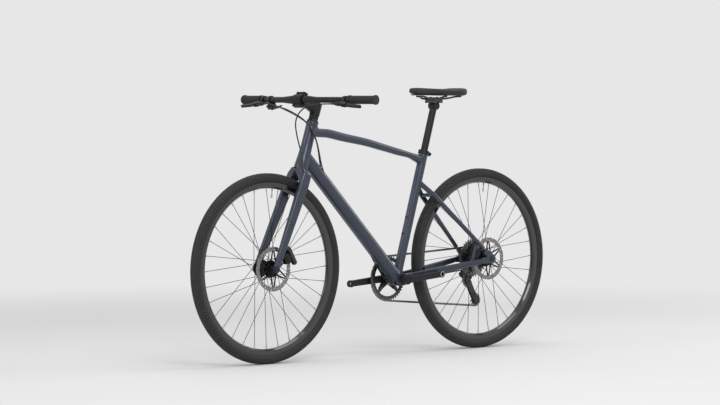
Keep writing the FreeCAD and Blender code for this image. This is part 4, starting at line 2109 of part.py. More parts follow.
def lever_blade():
    """Left lever blade: an eye on the pin, a knee and a rounded tip."""
    pivot = V(LEVER_PIVOT_X, LEVER_PIVOT_Y, 0)
    knee = V(LEVER_KNEE_X, LEVER_KNEE_Y, 0)
    tip = V(LEVER_TIP_X, LEVER_TIP_Y, 0)
    tall = 2 * LEVER_HALF_THICKNESS
    spans = (
        (pivot, LEVER_EYE_RADIUS, knee, LEVER_KNEE_RADIUS),
        (knee, LEVER_KNEE_RADIUS, tip, LEVER_TIP_RADIUS),
    )
    pieces = [link_outline(*span).extrude(V(0, 0, tall)) for span in spans]
    pin = rod(
        pivot - Z_AXIS * CUT_OVERRUN,
        pivot + Z_AXIS * (tall + CUT_OVERRUN),
        LEVER_PIN_RADIUS + RUNNING_FIT,
    )
    blade = fused(pieces).cut(pin)
    blade = moved(blade, FreeCAD.Placement(V(0, 0, -LEVER_HALF_THICKNESS), FreeCAD.Rotation()))
    return moved(blade, LEVER_FRAME)


def lever_port():
    """Where a hose meets the inboard end of the left lever body, and a point straight out of it."""
    place = LEVER_FRAME.multVec(V(LEVER_REACH, -LEVER_BARREL_IN - SEAT_FIT, 0))
    return place, place - BAR_OUT * LEVER_BARREL_IN


POD_FLOOR = -POD_TOP - POD_HEIGHT


def shifter_body():
    """Shifter for the right hand, drawn on the left: band, pod and the paddles' pin."""
    centre = V(POD_FORWARD, 0, 0)
    pod = Part.makeCone(
        POD_RADIUS,
        POD_RADIUS - LEVER_CLAMP_WALL / 2,
        POD_HEIGHT,
        centre - Z_AXIS * POD_TOP,
        Z_AXIS * -1,
    )
    neck = Part.makeBox(
        POD_RADIUS,
        LEVER_CLAMP_WIDTH,
        POD_TOP + LEVER_CLAMP_WALL,
        V(-BAR_RADIUS / 2, -LEVER_CLAMP_WIDTH / 2, -POD_TOP - LEVER_CLAMP_WALL),
    )
    depth = 2 * (PADDLE_THICKNESS + BODY_GAP)
    pin = rod(centre + Z_AXIS * POD_FLOOR, centre + Z_AXIS * (POD_FLOOR - depth), PADDLE_PIN_RADIUS)
    body = fused([bar_band(LEVER_CLAMP_WIDTH), neck, pod, pin]).cut(band_bore(LEVER_CLAMP_WIDTH))
    barrel_at = V(POD_FORWARD + POD_RADIUS / 2, -POD_RADIUS, -POD_TOP - POD_HEIGHT / 2)
    barrel = rod(
        barrel_at + Y_AXIS * LEVER_CLAMP_WIDTH,
        barrel_at - Y_AXIS * LEVER_CLAMP_WALL,
        BANJO_RADIUS,
    )
    return moved(fused([body, barrel]), SHIFTER_FRAME)


def shifter_port():
    start = V(
        POD_FORWARD + POD_RADIUS / 2,
        -POD_RADIUS - LEVER_CLAMP_WALL - SEAT_FIT,
        -POD_TOP - POD_HEIGHT / 2,
    )
    place = SHIFTER_FRAME.multVec(start)
    return place, place - BAR_OUT * POD_RADIUS


def paddle(layer, back, inward):
    """Thumb paddle that swings about the pod's pin, one layer below the other."""
    centre = V(POD_FORWARD, 0, 0)
    tip = V(POD_FORWARD - back, -inward, 0)
    top = POD_FLOOR - BODY_GAP - layer * (PADDLE_THICKNESS + BODY_GAP)
    plate = link_outline(
        centre,
        PADDLE_PIVOT_RADIUS,
        tip,
        PADDLE_TIP_RADIUS,
    ).extrude(V(0, 0, PADDLE_THICKNESS))
    bore = rod(
        centre - Z_AXIS * CUT_OVERRUN,
        centre + Z_AXIS * (PADDLE_THICKNESS + CUT_OVERRUN),
        PADDLE_PIN_RADIUS + RUNNING_FIT,
    )
    plate = moved(plate.cut(bore), FreeCAD.Placement(V(0, 0, top - PADDLE_THICKNESS), FreeCAD.Rotation()))
    return moved(plate, SHIFTER_FRAME)


# Seatpost and saddle
POST_HEAD = on_seat(SEAT_TUBE_LENGTH + POST_RISE)


def seatpost():
    """Hollow post with a cross barrel for the saddle clamp."""
    low = on_seat(SEAT_TUBE_LENGTH - POST_INSERT)
    half = Y_AXIS * (POST_HEAD_WIDTH / 2)
    post = fused(
        [rod(low, POST_HEAD, SEATPOST_RADIUS), rod(POST_HEAD - half, POST_HEAD + half, POST_HEAD_RADIUS)]
    )
    return post.cut(
        rod(
            low - SEAT_UP * CUT_OVERRUN,
            POST_HEAD - SEAT_UP * POST_HEAD_RADIUS,
            SEATPOST_RADIUS - POST_WALL,
        )
    )


RAIL_LEVEL = POST_HEAD + Z_AXIS * RAIL_HEIGHT
SADDLE_NOSE = POST_HEAD.x + SADDLE_FORWARD
SADDLE_FLOOR = POST_HEAD.z + SADDLE_BASE


def rail_route(side):
    """Rail from the tail socket, level through the clamp, to the nose socket."""
    end_z = SADDLE_FLOOR - SADDLE_SHELL - SEAT_FIT - RAIL_RADIUS - BODY_GAP
    tail = SADDLE_NOSE - SADDLE_LENGTH * RAIL_TAIL_share
    nose = SADDLE_NOSE - SADDLE_LENGTH * RAIL_NOSE_share
    level = RAIL_LEVEL.z
    return [
        V(tail, side * RAIL_TAIL_Y, end_z),
        V(tail + CLAMP_LENGTH / 2, side * (RAIL_TAIL_Y + RAIL_Y) / 2, end_z - RAIL_RADIUS / 4),
        V(POST_HEAD.x - CLAMP_LENGTH * RAIL_LEVEL_share, side * RAIL_Y, level),
        V(POST_HEAD.x + CLAMP_LENGTH * RAIL_LEVEL_share, side * RAIL_Y, level),
        V(nose - CLAMP_LENGTH / 2, side * (RAIL_NOSE_Y + RAIL_RADIUS), end_z - RAIL_RADIUS / 4),
        V(nose, side * RAIL_NOSE_Y, end_z),
    ]


def saddle_rails():
    return [hose(rail_route(side), RAIL_RADIUS, "") for side in (1, -1)]


def saddle_clamp():
    """Lower cradle on the post's barrel, upper plate over the rails, and two bolts."""
    rails = Part.makeCompound([
        rod(
            RAIL_LEVEL - X_AXIS * CLAMP_LENGTH + Y_AXIS * (side * RAIL_Y),
            RAIL_LEVEL + X_AXIS * CLAMP_LENGTH + Y_AXIS * (side * RAIL_Y),
            RAIL_RADIUS + SEAT_FIT,
        )
        for side in (1, -1)
    ])
    reach = Y_AXIS * CLAMP_WIDTH
    barrel = rod(POST_HEAD - reach, POST_HEAD + reach, POST_HEAD_RADIUS + BODY_GAP)
    corner = CLAMP_UPPER_HEIGHT / 2
    plan = Part.Face(rounded_outline(CLAMP_LENGTH, CLAMP_WIDTH, corner))
    lower_plan = Part.Face(rounded_outline(CLAMP_LENGTH, CLAMP_WIDTH, corner))
    base = RAIL_LEVEL - Z_AXIS * (CLAMP_LOWER_HEIGHT + SEAT_FIT)
    lower = moved(
        lower_plan.extrude(V(0, 0, CLAMP_LOWER_HEIGHT)),
        frame_at(base, Z_AXIS, Y_AXIS),
    ).cut(barrel)
    upper = moved(
        plan.extrude(V(0, 0, CLAMP_UPPER_HEIGHT)),
        frame_at(RAIL_LEVEL + Z_AXIS * SEAT_FIT, Z_AXIS, Y_AXIS),
    )
    top = RAIL_LEVEL + Z_AXIS * (CLAMP_UPPER_HEIGHT + 2 * SEAT_FIT)
    bolts = []
    holes = []
    for way in (1, -1):
        place = X_AXIS * (way * CLAMP_BOLT_X)
        low = base + place - Z_AXIS * BOSS_FLANGE_HEIGHT
        high = top + place
        holes.append(
            rod(low - Z_AXIS * CUT_OVERRUN, high + Z_AXIS * CUT_OVERRUN, BOSS_THREAD_RADIUS + SEAT_FIT)
        )
        bolts.append(
            fused(
                [
                    rod(low, high, BOSS_THREAD_RADIUS),
                    rod(high, high + Z_AXIS * BOSS_FLANGE_HEIGHT, BOSS_FLANGE_RADIUS - BOSS_FLANGE_HEIGHT),
                ]
            )
        )
    cuts = Part.makeCompound(holes)
    return [largest(lower.cut(rails)).cut(cuts), largest(upper.cut(rails)).cut(cuts)] + bolts


def saddle_section(index, spread, floor, crown, droop):
    """One cross-section of the saddle: hollow or flat below, drawn-in sides and a crowned top."""
    x = SADDLE_NOSE - SADDLE_LENGTH * SADDLE_PLACE_shares[index]
    half = SADDLE_WIDTH / 2 * SADDLE_WIDTH_shares[index] * spread
    rise = crown - floor
    side_share, edge_share, shoulder_share = SADDLE_SIDE_shares
    low = [V(x, -half * edge_share, floor - droop), V(x, half * edge_share, floor - droop)]
    below = Part.Arc(low[0], V(x, 0, floor), low[1]) if droop else Part.LineSegment(low[0], low[1])
    high = [
        V(x, half * shoulder_share, floor + rise * edge_share),
        V(x, -half * shoulder_share, floor + rise * edge_share),
    ]
    edges = [
        below.toShape(),
        Part.Arc(low[1], V(x, half, floor + rise * side_share), high[0]).toShape(),
        Part.Arc(high[0], V(x, 0, crown), high[1]).toShape(),
        Part.Arc(high[1], V(x, -half, floor + rise * side_share), low[0]).toShape(),
    ]
    return Part.Wire(edges)


def saddle_cover():
    """Padded top, lofted from a narrow nose to a broad tail."""
    wires = []
    for index in range(len(SADDLE_PLACE_shares)):
        floor = SADDLE_FLOOR + SADDLE_HEIGHT * SADDLE_UNDER_shares[index]
        crown = SADDLE_FLOOR + SADDLE_HEIGHT * SADDLE_TOP_shares[index]
        droop = SADDLE_HEIGHT * SADDLE_DROOP_shares[index]
        wires.append(saddle_section(index, 1, floor, crown, droop))
    return Part.makeLoft(wires, True, False)


def saddle_shell():
    """Thin base under the cover that the rails plug into."""
    wires = []
    for index in range(1, len(SADDLE_PLACE_shares) - 1):
        low = SADDLE_FLOOR - SADDLE_SHELL - SEAT_FIT
        wires.append(saddle_section(index, SADDLE_SHELL_share, low, SADDLE_FLOOR - SEAT_FIT, 0))
    return largest(Part.makeLoft(wires, True, False).cut(saddle_cover()))


# Hoses and gear cable
def points_of(table):
    return [V(*row) for row in table]


def front_hose_points():
    """From the left lever in front of the head tube, into the crown and down the left blade."""
    port, away = lever_port()
    end, lead = calliper_port(FRONT_AXLE, FRONT_ROTOR_Y, FRONT_CALLIPER_TURN)
    inside = [blade_centre(share) for share in FRONT_HOSE_BLADE_shares]
    return [port, away] + points_of(FRONT_HOSE_ROUTE) + inside + [end + lead * CALLIPER_LENGTH, end]


def down_tube_point(distance, y, up):
    return CRANK_AXIS + DOWN_TUBE_ALONG * distance + DOWN_TUBE_UP * up + Y_AXIS * y


def under_chainstay(share, side, radius):
    """Point just below a chainstay."""
    place = chainstay_centre(share)
    drop = chainstay_depth(share) / 2 + radius + BODY_GAP
    below = V(-TO_CRANK.z, 0, TO_CRANK.x) * -drop
    return V(place.x, side * place.y, place.z) + below


def inside_down_tube(side):
    """In at the port beside the head tube, down the tube and out below, ahead of the crank axis."""
    length = (DOWN_TUBE_END - CRANK_AXIS).Length
    half_depth = DOWN_TUBE_DEPTH / 2
    offset = DOWN_TUBE_WIDTH * HOSE_OFFSET_share * side
    entry, bend, sag, leave = [length * share for share in HOSE_DOWN_TUBE_shares]
    shell_drop = SHELL_RADIUS + HOSE_SHELL_DROP
    return [
        down_tube_point(entry, DOWN_TUBE_WIDTH * HOSE_PORT_share + offset / 2, half_depth / 2),
        down_tube_point(bend, offset, 0),
        down_tube_point(sag, offset, -half_depth * HOSE_SAG_share),
        down_tube_point(leave, offset, -half_depth - SHELL_RADIUS / 2),
        CRANK_AXIS + Y_AXIS * offset + X_AXIS * CUT_OVERRUN - Z_AXIS * shell_drop,
    ]


def rear_hose_points():
    port, away = lever_port()
    start = [V(point.x, -point.y, point.z) for point in (port, away)]
    end, lead = calliper_port(REAR_AXLE, REAR_ROTOR_Y, REAR_CALLIPER_TURN)
    stay = [under_chainstay(share, 1, HOSE_RADIUS) for share in HOSE_STAY_shares]
    beside = under_chainstay(HOSE_BESIDE_share, 1, HOSE_RADIUS) - Y_AXIS * (
        CHAINSTAY_RING_WIDTH / 2 + 2 * HOSE_RADIUS
    )
    last = [beside, end + lead * CALLIPER_LENGTH * REAR_HOSE_LEAD_share, end]
    return start + points_of(REAR_HOSE_ROUTE) + inside_down_tube(1) + stay + last


def cable_points():
    port, away = shifter_port()
    start = [V(point.x, -point.y, point.z) for point in (port, away)]
    stay = [under_chainstay(share, -1, CABLE_RADIUS) for share in CABLE_STAY_shares]
    lug_y = -DROPOUT_OUTER_Y - HANGER_THICKNESS - HANGER_LUG_WIDTH / 2
    lug = V(HANGER_BOLT.x + HANGER_LUG_RADIUS + SEAT_FIT, lug_y, HANGER_BOLT.z)
    turn = lug + X_AXIS * CABLE_LUG_LEAD - Z_AXIS * HANGER_LUG_RADIUS / 2
    under = V(turn.x + CABLE_STAY_LEAD, -DROPOUT_OUTER_Y, turn.z)
    last = [under, turn, lug]
    return start + points_of(CABLE_ROUTE) + inside_down_tube(-1) + stay + last


# Every node
def build():
    lean, pins = fitted_chain()
    tension = tension_place(lean)
    front_route = front_hose_points()
    rear_route = rear_hose_points()
    cable_route = cable_points()
    channels = [
        hose(rear_route, HOSE_RADIUS + CHANNEL_CLEARANCE, ""),
        hose(cable_route, CABLE_RADIUS + CHANNEL_CLEARANCE, ""),
    ]
    blade_channel = hose(front_route, HOSE_RADIUS + CHANNEL_CLEARANCE, "")

    save("head_tube", head_tube())
    save("frame_bearings", *headset_bearings(), *bottom_bracket_cups())
    save("top_tube", top_tube())
    save("down_tube", down_tube(channels), *bosses(down_boss_places(), DOWN_TUBE_UP))
    save("seat_tube", seat_tube(), *bosses(seat_boss_places(), SEAT_FORWARD))
    save("bottom_bracket_shell", bottom_bracket_shell())
    right_stay = mirrored(chainstay())
    anchor = REAR_AXLE + TO_CRANK * (ROTOR_RADIUS + CALLIPER_FOOT_RISE + CALLIPER_FOOT_RADIUS)
    tabs = tab(REAR_AXLE, REAR_ROTOR_Y, REAR_CALLIPER_TURN, anchor)
    left_stay = fused([chainstay()] + tabs).cut(Part.makeCompound(tab_holes(REAR_AXLE, REAR_CALLIPER_TURN)))
    save("chainstays", left_stay, right_stay)
    left_seatstay = seatstay(left_stay)
    right_seatstay = mirrored(seatstay(mirrored(right_stay)))
    bridge = [seatstay_bridge(left_seatstay, right_seatstay)] + bridge_bolts()
    save("seatstays", left_seatstay, right_seatstay, *bridge)
    save("derailleur_hanger", hanger())
    save("seat_collar", *seat_collar())
    save("rear_axle", thru_axle(REAR_AXLE, DROPOUT_INNER_Y, DROPOUT_THICKNESS))

    for name, axle, left_y, right_y, rotor_y, right_end, left_end in (
        (
            "front",
            FRONT_AXLE,
            FRONT_LEFT_FLANGE_Y,
            FRONT_RIGHT_FLANGE_Y,
            FRONT_ROTOR_Y,
            BODY_GAP - FORK_INNER_Y,
            FORK_INNER_Y - BODY_GAP,
        ),
        (
            "rear",
            REAR_AXLE,
            REAR_LEFT_FLANGE_Y,
            REAR_RIGHT_FLANGE_Y,
            REAR_ROTOR_Y,
            FREEHUB_INNER_Y + BODY_GAP,
            DROPOUT_INNER_Y - BODY_GAP,
        ),
    ):
        save(name + "_hub", hub(axle, left_y, right_y, left_end, right_end, rotor_y))
        save(name + "_spokes", *spokes(axle, left_y, right_y))
        save(name + "_rim", rim(axle), valve(axle))
        save(name + "_tyre", tyre(axle))
        save(name + "_rotor", *rotor(axle, rotor_y))

    for name, axle, rotor_y, turn in (
        ("front", FRONT_AXLE, FRONT_ROTOR_Y, FRONT_CALLIPER_TURN),
        ("rear", REAR_AXLE, REAR_ROTOR_Y, REAR_CALLIPER_TURN),
    ):
        save(name + "_calliper", *calliper(axle, rotor_y, turn))
        outer_pad, inner_pad = pads(axle, rotor_y, turn)
        save(name + "_pad_outer", outer_pad)
        save(name + "_pad_inner", inner_pad)

    save("chain", *chain(pins))
    save("cassette", *cassette(pins))
    save("crank_right", *crank_right())
    save("crank_left", *crank_left())
    save("chainring", *chainring(pins))
    save("derailleur_base", base_knuckle())
    save("derailleur_outer_link", parallel_link(-1, RUNNING_FIT))
    save("derailleur_inner_link", parallel_link(1, BODY_GAP))
    save("derailleur_knuckle", moving_knuckle())
    save("derailleur_cage", cage(lean))
    save("guide_pulley", pulley(GUIDE, pins))
    save("tension_pulley", pulley(tension, pins))

    save("fork", fork(blade_channel))
    save("front_axle", thru_axle(FRONT_AXLE, FORK_INNER_Y, BLADE_END_WIDTH))
    save("headset_spacers", *headset_spacers())
    save("stem", stem())
    save("stem_faceplate", *stem_faceplate())
    save("handlebar", handlebar())
    save("grips", *grip(), *[mirrored(piece) for piece in grip()])
    save("lever_body_left", lever_body())
    save("lever_body_right", mirrored(lever_body()))
    save("brake_lever_left", lever_blade())
    save("brake_lever_right", mirrored(lever_blade()))
    save("shifter_body", mirrored(shifter_body()))
    save("shift_paddle_main", mirrored(paddle(1, PADDLE_BACK, PADDLE_IN)))
    save("shift_paddle_release", mirrored(paddle(0, RELEASE_BACK, RELEASE_IN)))

    save("seatpost", seatpost())
    save("saddle_rails", *saddle_rails(), *saddle_clamp())
    save("saddle_shell", saddle_shell())
    save("saddle_cover", saddle_cover())

    save("front_hose", hose(front_route, HOSE_RADIUS, "front hose"))
    save("rear_hose", hose(rear_route, HOSE_RADIUS, "rear hose"))
    save("gear_cable", hose(cable_route, CABLE_RADIUS, "gear cable"))


os.makedirs("parts", exist_ok=True)
build()
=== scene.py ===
import bpy
import bmesh
import json
import math
from mathutils import Matrix, Vector
from mathutils.bvhtree import BVHTree


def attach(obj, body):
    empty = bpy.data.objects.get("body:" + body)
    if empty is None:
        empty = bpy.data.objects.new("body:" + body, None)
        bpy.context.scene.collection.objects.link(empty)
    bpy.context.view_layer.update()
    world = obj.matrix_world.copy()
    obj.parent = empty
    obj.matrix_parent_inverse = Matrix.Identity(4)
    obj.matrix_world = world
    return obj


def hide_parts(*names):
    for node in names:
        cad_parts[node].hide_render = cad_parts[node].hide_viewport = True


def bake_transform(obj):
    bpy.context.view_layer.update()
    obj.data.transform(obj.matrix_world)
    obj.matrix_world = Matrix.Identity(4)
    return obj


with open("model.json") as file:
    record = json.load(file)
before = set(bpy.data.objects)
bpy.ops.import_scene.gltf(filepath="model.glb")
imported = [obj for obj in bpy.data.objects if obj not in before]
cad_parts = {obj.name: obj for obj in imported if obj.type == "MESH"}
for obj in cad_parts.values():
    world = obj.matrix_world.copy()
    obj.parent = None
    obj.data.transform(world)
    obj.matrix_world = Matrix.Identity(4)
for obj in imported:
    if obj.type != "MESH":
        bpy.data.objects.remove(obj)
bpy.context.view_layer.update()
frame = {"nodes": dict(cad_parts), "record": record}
NODES = frame["nodes"]

# Layout that repeats the solids, in metres
WHEELBASE = 1.090
TYRE_RADIUS = 0.350
FRONT_AXLE = Vector((WHEELBASE / 2, 0, TYRE_RADIUS))
REAR_AXLE = Vector((-WHEELBASE / 2, 0, TYRE_RADIUS))

# Finishes that every surface shares: spread of its roughness, and gloss of its clear coat
ROUGH_BELOW, ROUGH_ABOVE = 0.06, 0.08
COAT_ROUGHNESS = 0.12
RIM_COAT_ROUGHNESS = 0.08
NOISE_ROUGHNESS = 0.55
TURNED_BUMP = 0.00006


# Shader nodes
def add(tree, kind, inputs, **settings):
    """New shader node with its settings; each input takes a link or a plain value."""
    node = tree.nodes.new("ShaderNode" + kind)
    for name, value in settings.items():
        setattr(node, name, value)
    for key, value in inputs.items():
        if isinstance(value, bpy.types.NodeSocket):
            tree.links.new(value, node.inputs[key])
        else:
            node.inputs[key].default_value = value
    return node


def new_material(name):
    """Material whose tree holds only an output and a principled shader."""
    material = bpy.data.materials.new(name)
    material.use_nodes = True
    tree = material.node_tree
    tree.nodes.clear()
    shader = add(tree, "BsdfPrincipled", {})
    add(tree, "OutputMaterial", {"Surface": shader.outputs["BSDF"]})
    return material, tree, shader


def object_coordinates(tree):
    return add(tree, "TexCoord", {}).outputs["Object"]


def calc(tree, operation, one, other):
    """Result of a maths node on two values."""
    return add(tree, "Math", {0: one, 1: other}, operation=operation).outputs["Value"]


def noise(tree, scale, detail):
    settings = {"Scale": scale, "Detail": detail, "Roughness": NOISE_ROUGHNESS}
    return add(tree, "TexNoise", {"Vector": object_coordinates(tree), **settings}).outputs["Fac"]


def ramp(tree, value, stops):
    """Colour ramp through (position, colour) stops."""
    node = add(tree, "ValToRGB", {"Fac": value})
    for element, (position, colour) in zip(node.color_ramp.elements, stops):
        element.position = position
        element.color = (*colour, 1.0)
    return node.outputs["Color"]


def mixed(tree, factor, one, other, **settings):
    """Mix of two colours."""
    inputs = {"Factor": factor, 6: one, 7: other}
    return add(tree, "Mix", inputs, data_type="RGBA", **settings).outputs[2]


def grey(value):
    return (value, value, value)


def roughen(tree, shader, fine, roughness):
    """Let the fine grain spread the roughness a little."""
    limits = {"To Min": roughness - ROUGH_BELOW, "To Max": roughness + ROUGH_ABOVE}
    result = add(tree, "MapRange", {"Value": fine, **limits}).outputs["Result"]
    tree.links.new(result, shader.inputs["Roughness"])


def bump(tree, shader, height, strength, distance):
    inputs = {"Strength": strength, "Distance": distance, "Height": height}
    tree.links.new(add(tree, "Bump", inputs).outputs["Normal"], shader.inputs["Normal"])


def radius_from(tree, axle):
    """Distance from a wheel's axle in the wheel's plane."""
    place = object_coordinates(tree)
    for operation, value in (("SUBTRACT", axle), ("MULTIPLY", (1, 0, 1))):
        place = add(tree, "VectorMath", {0: place, 1: value}, operation=operation).outputs["Vector"]
    return add(tree, "VectorMath", {0: place}, operation="LENGTH").outputs["Value"]


# Kinds of finish
def surface(
    name,
    colour,
    variation,
    roughness,
    metallic=0.0,
    grain=900.0,
    strength=0.12,
    depth=0.00008,
    coat=0.0,
    blotch=14.0,
):
    """Procedural finish: blotchy colour, uneven roughness and a fine grain."""
    material, tree, shader = new_material(name)
    dark = tuple(c * (1 - variation) for c in colour)
    light = tuple(min(c * (1 + variation), 1) for c in colour)
    patches = noise(tree, blotch, 5.0)
    tree.links.new(ramp(tree, patches, ((0.3, dark), (0.7, light))), shader.inputs["Base Color"])
    fine = noise(tree, grain, 2.0)
    roughen(tree, shader, fine, roughness)
    shader.inputs["Metallic"].default_value = metallic
    shader.inputs["Coat Weight"].default_value = coat
    shader.inputs["Coat Roughness"].default_value = COAT_ROUGHNESS
    bump(tree, shader, fine, strength, depth)
    return material


def ringed(name, axle, inside, outside, band, roughness, metallic, lines=0.0, strength=0.1, coat=0.0):
    """Finish that changes colour across a band of radius, with turned lines where asked for."""
    material, tree, shader = new_material(name)
    radius = radius_from(tree, axle)
    limits = {"From Min": band[0], "From Max": band[1]}
    share = add(tree, "MapRange", {"Value": radius, **limits}).outputs["Result"]
    colours = ramp(tree, share, ((0.0, inside), (1.0, outside)))
    patch = ramp(tree, noise(tree, 60.0, 4.0), ((0.3, grey(0.8)), (0.7, grey(1.0))))
    worn = mixed(tree, 1.0, colours, patch, blend_type="MULTIPLY")
    tree.links.new(worn, shader.inputs["Base Color"])
    fine = noise(tree, 700.0, 2.0)
    roughen(tree, shader, fine, roughness)
    shader.inputs["Metallic"].default_value = metallic
    shader.inputs["Coat Weight"].default_value = coat
    shader.inputs["Coat Roughness"].default_value = RIM_COAT_ROUGHNESS
    height = calc(tree, "SINE", calc(tree, "MULTIPLY", radius, lines), 0.0) if lines else fine
    bump(tree, shader, height, strength, TURNED_BUMP)
    return material


def dark_ends(name, axle, behind, half_depth, reach, dropout_and_shade_radius):
    """Copy of the paint that is black on the brake tab behind a leg and round its axle end; the black round
    the end is the dropout's own colour and partly painted shade at the blade's tip.
    """
    material = paint.copy()
    material.name = name
    tree = material.node_tree
    shader = next(node for node in tree.nodes if node.type == "BSDF_PRINCIPLED")
    colour = shader.inputs["Base Color"].links[0].from_socket
    radius = radius_from(tree, axle)
    place = {0: object_coordinates(tree), 1: behind}
    depth = add(tree, "VectorMath", place, operation="DOT_PRODUCT").outputs["Value"]
    back = calc(tree, "GREATER_THAN", depth, axle.dot(behind) + half_depth)
    tab = calc(tree, "MULTIPLY", back, calc(tree, "LESS_THAN", radius, reach))
    # Black round the axle end: the dropout's black, partly painted shade at the tip of the blade
    zone = calc(tree, "MAXIMUM", tab, calc(tree, "LESS_THAN", radius, dropout_and_shade_radius))
    tree.links.new(mixed(tree, zone, colour, (*BLACK, 1.0)), shader.inputs["Base Color"])
    return material


# Finishes of this bike
NAVY = (0.019, 0.029, 0.054)
BLACK = (0.012, 0.012, 0.013)
SILVER = (0.42, 0.41, 0.40)
TRACK = (0.26, 0.245, 0.23)
paint = surface("navy_paint", NAVY, 0.12, 0.4, metallic=0.3, grain=1400.0, strength=0.05, coat=0.5)
black_alloy = surface("black_anodised", (0.016, 0.016, 0.017), 0.25, 0.4, metallic=0.6, grain=1600.0)
dark_alloy = surface("dark_anodised", (0.026, 0.026, 0.029), 0.2, 0.36, metallic=0.7, grain=1500.0)
grey_alloy = surface("grey_alloy", (0.11, 0.11, 0.115), 0.2, 0.38, metallic=0.8, grain=1200.0)
dark_steel = surface("dark_steel", (0.07, 0.07, 0.075), 0.3, 0.34, metallic=0.9, grain=1300.0)
bright_steel = surface("bright_steel", grey(0.42), 0.15, 0.28, metallic=0.9, grain=1200.0)
cassette_steel = surface("cassette_steel", (0.15, 0.15, 0.152), 0.3, 0.32, metallic=0.9, grain=1200.0)
CHAIN_BROWN = (0.20, 0.165, 0.13)
chain_steel = surface("chain_steel", CHAIN_BROWN, 0.35, 0.38, metallic=0.9, grain=1100.0, blotch=90.0)
pad_mix = surface("pad_compound", (0.10, 0.085, 0.075), 0.4, 0.8, strength=0.4)
plastic = surface("moulded_plastic", BLACK, 0.25, 0.52, grain=2200.0, strength=0.2)
rubber = surface("grip_rubber", (0.011, 0.011, 0.012), 0.3, 0.72, grain=1800.0, strength=0.35)
hose_skin = surface("hose_jacket", (0.010, 0.010, 0.011), 0.2, 0.38, grain=1500.0, strength=0.08)
# Casing rubber painted darker than the tread blocks: painted shade in the gaps between the blocks
CASING_SHADED_BLACK = (0.0095, 0.0095, 0.010)
tyre_rubber = surface("tyre_rubber", CASING_SHADED_BLACK, 0.3, 0.7, grain=1100.0, strength=0.3, blotch=22.0)
# Tread blocks painted a lighter grey than the casing: painted light on the blocks against the shaded gaps
TREAD_LIT_GREY = (0.034, 0.033, 0.032)
tread_lit_rubber = surface("tread_lit_rubber", TREAD_LIT_GREY, 0.25, 0.78, grain=1300.0, strength=0.3, blotch=30.0)
SADDLE_BLACK = (0.011, 0.011, 0.012)
saddle_skin = surface("saddle_skin", SADDLE_BLACK, 0.2, 0.58, grain=1300.0, strength=0.4, depth=0.00015)
thread = surface("saddle_thread", (0.035, 0.035, 0.037), 0.25, 0.7, grain=2400.0, strength=0.3)

FINISH = {
    "frame_paint": paint,
    "black_alloy": black_alloy,
    "dark_anodised": dark_alloy,
    "grey_alloy": grey_alloy,
    "dark_steel": dark_steel,
    "chain_steel": chain_steel,
    "rotor_steel": grey_alloy,
    "pad_compound": pad_mix,
    "black_plastic": plastic,
    "grip_rubber": rubber,
    "hose_jacket": hose_skin,
    "tyre_rubber": tyre_rubber,
    "saddle_skin": saddle_skin,
}
for part in frame["record"]["subparts"]:
    node = NODES[part["node"]]
    node.data.materials.clear()
    node.data.materials.append(FINISH[part["material_slot"]])

# Nodes whose finish differs from the rest of their slot
FORK_BEHIND = Vector((-0.903, 0, -0.429))
FORK_HALF_DEPTH = 0.018
FORK_TAB_REACH = 0.145
# Radius of the black round the fork's axle end: dropout black and painted shade at the blade's tip
FORK_DROPOUT_AND_SHADE_RADIUS = 0.0125
OWN_FINISH = {
    "cassette": cassette_steel,
    "front_calliper": dark_alloy,
    "rear_calliper": dark_alloy,
    "lever_body_left": dark_alloy,
    "lever_body_right": dark_alloy,
    "brake_lever_left": black_alloy,
    "brake_lever_right": black_alloy,
    "fork": dark_ends(
        "fork_paint", FRONT_AXLE, FORK_BEHIND, FORK_HALF_DEPTH, FORK_TAB_REACH, FORK_DROPOUT_AND_SHADE_RADIUS
    ),
}
for name, finish in OWN_FINISH.items():
    NODES[name].data.materials[0] = finish

# Radii between which a rotor's carrier turns into its track, a spoke into its nipple, a valve into the rim
ROTOR_BAND = (0.06562, 0.06647)
SPOKE_BAND = (0.279888, 0.281064)
RIM_BAND = (0.28576, 0.28736)
ROTOR_LINES = 9000.0
for end, axle in (("front", FRONT_AXLE), ("rear", REAR_AXLE)):
    NODES[end + "_rotor"].data.materials[0] = ringed(
        end + "_rotor_steel", axle, BLACK, TRACK, ROTOR_BAND, 0.34, 0.85, lines=ROTOR_LINES, strength=0.2
    )
    NODES[end + "_spokes"].data.materials[0] = ringed(
        end + "_spoke_steel", axle, BLACK, SILVER, SPOKE_BAND, 0.34, 0.8
    )
    NODES[end + "_rim"].data.materials[0] = ringed(
        end + "_rim_alloy", axle, SILVER, BLACK, RIM_BAND, 0.16, 0.3, coat=1.0
    )


# Mesh helpers
def link_mesh(name, points, faces, material, sharp=None):
    """Smooth mesh object from points and faces; edges sharper than the angle stay crisp."""
    mesh = bpy.data.meshes.new(name)
    mesh.from_pydata([tuple(point) for point in points], [], faces)
    mesh.update()
    work = bmesh.new()
    work.from_mesh(mesh)
    bmesh.ops.recalc_face_normals(work, faces=work.faces)
    for face in work.faces:
        face.smooth = True
    if sharp:
        for edge in work.edges:
            edge.smooth = len(edge.link_faces) < 2 or edge.calc_face_angle(0) < sharp
    work.to_mesh(mesh)
    work.free()
    mesh.materials.append(material)
    piece = bpy.data.objects.new(name, mesh)
    bpy.context.scene.collection.objects.link(piece)
    return piece


def turns(count):
    """Even angles round a circle."""
    return [2 * math.pi * k / count for k in range(count)]


def strip(low, high, sides):
    """Quads between two rings of points that start at these indices."""
    rounds = [(k, (k + 1) % sides) for k in range(sides)]
    return [(low + k, low + nxt, high + nxt, high + k) for k, nxt in rounds]


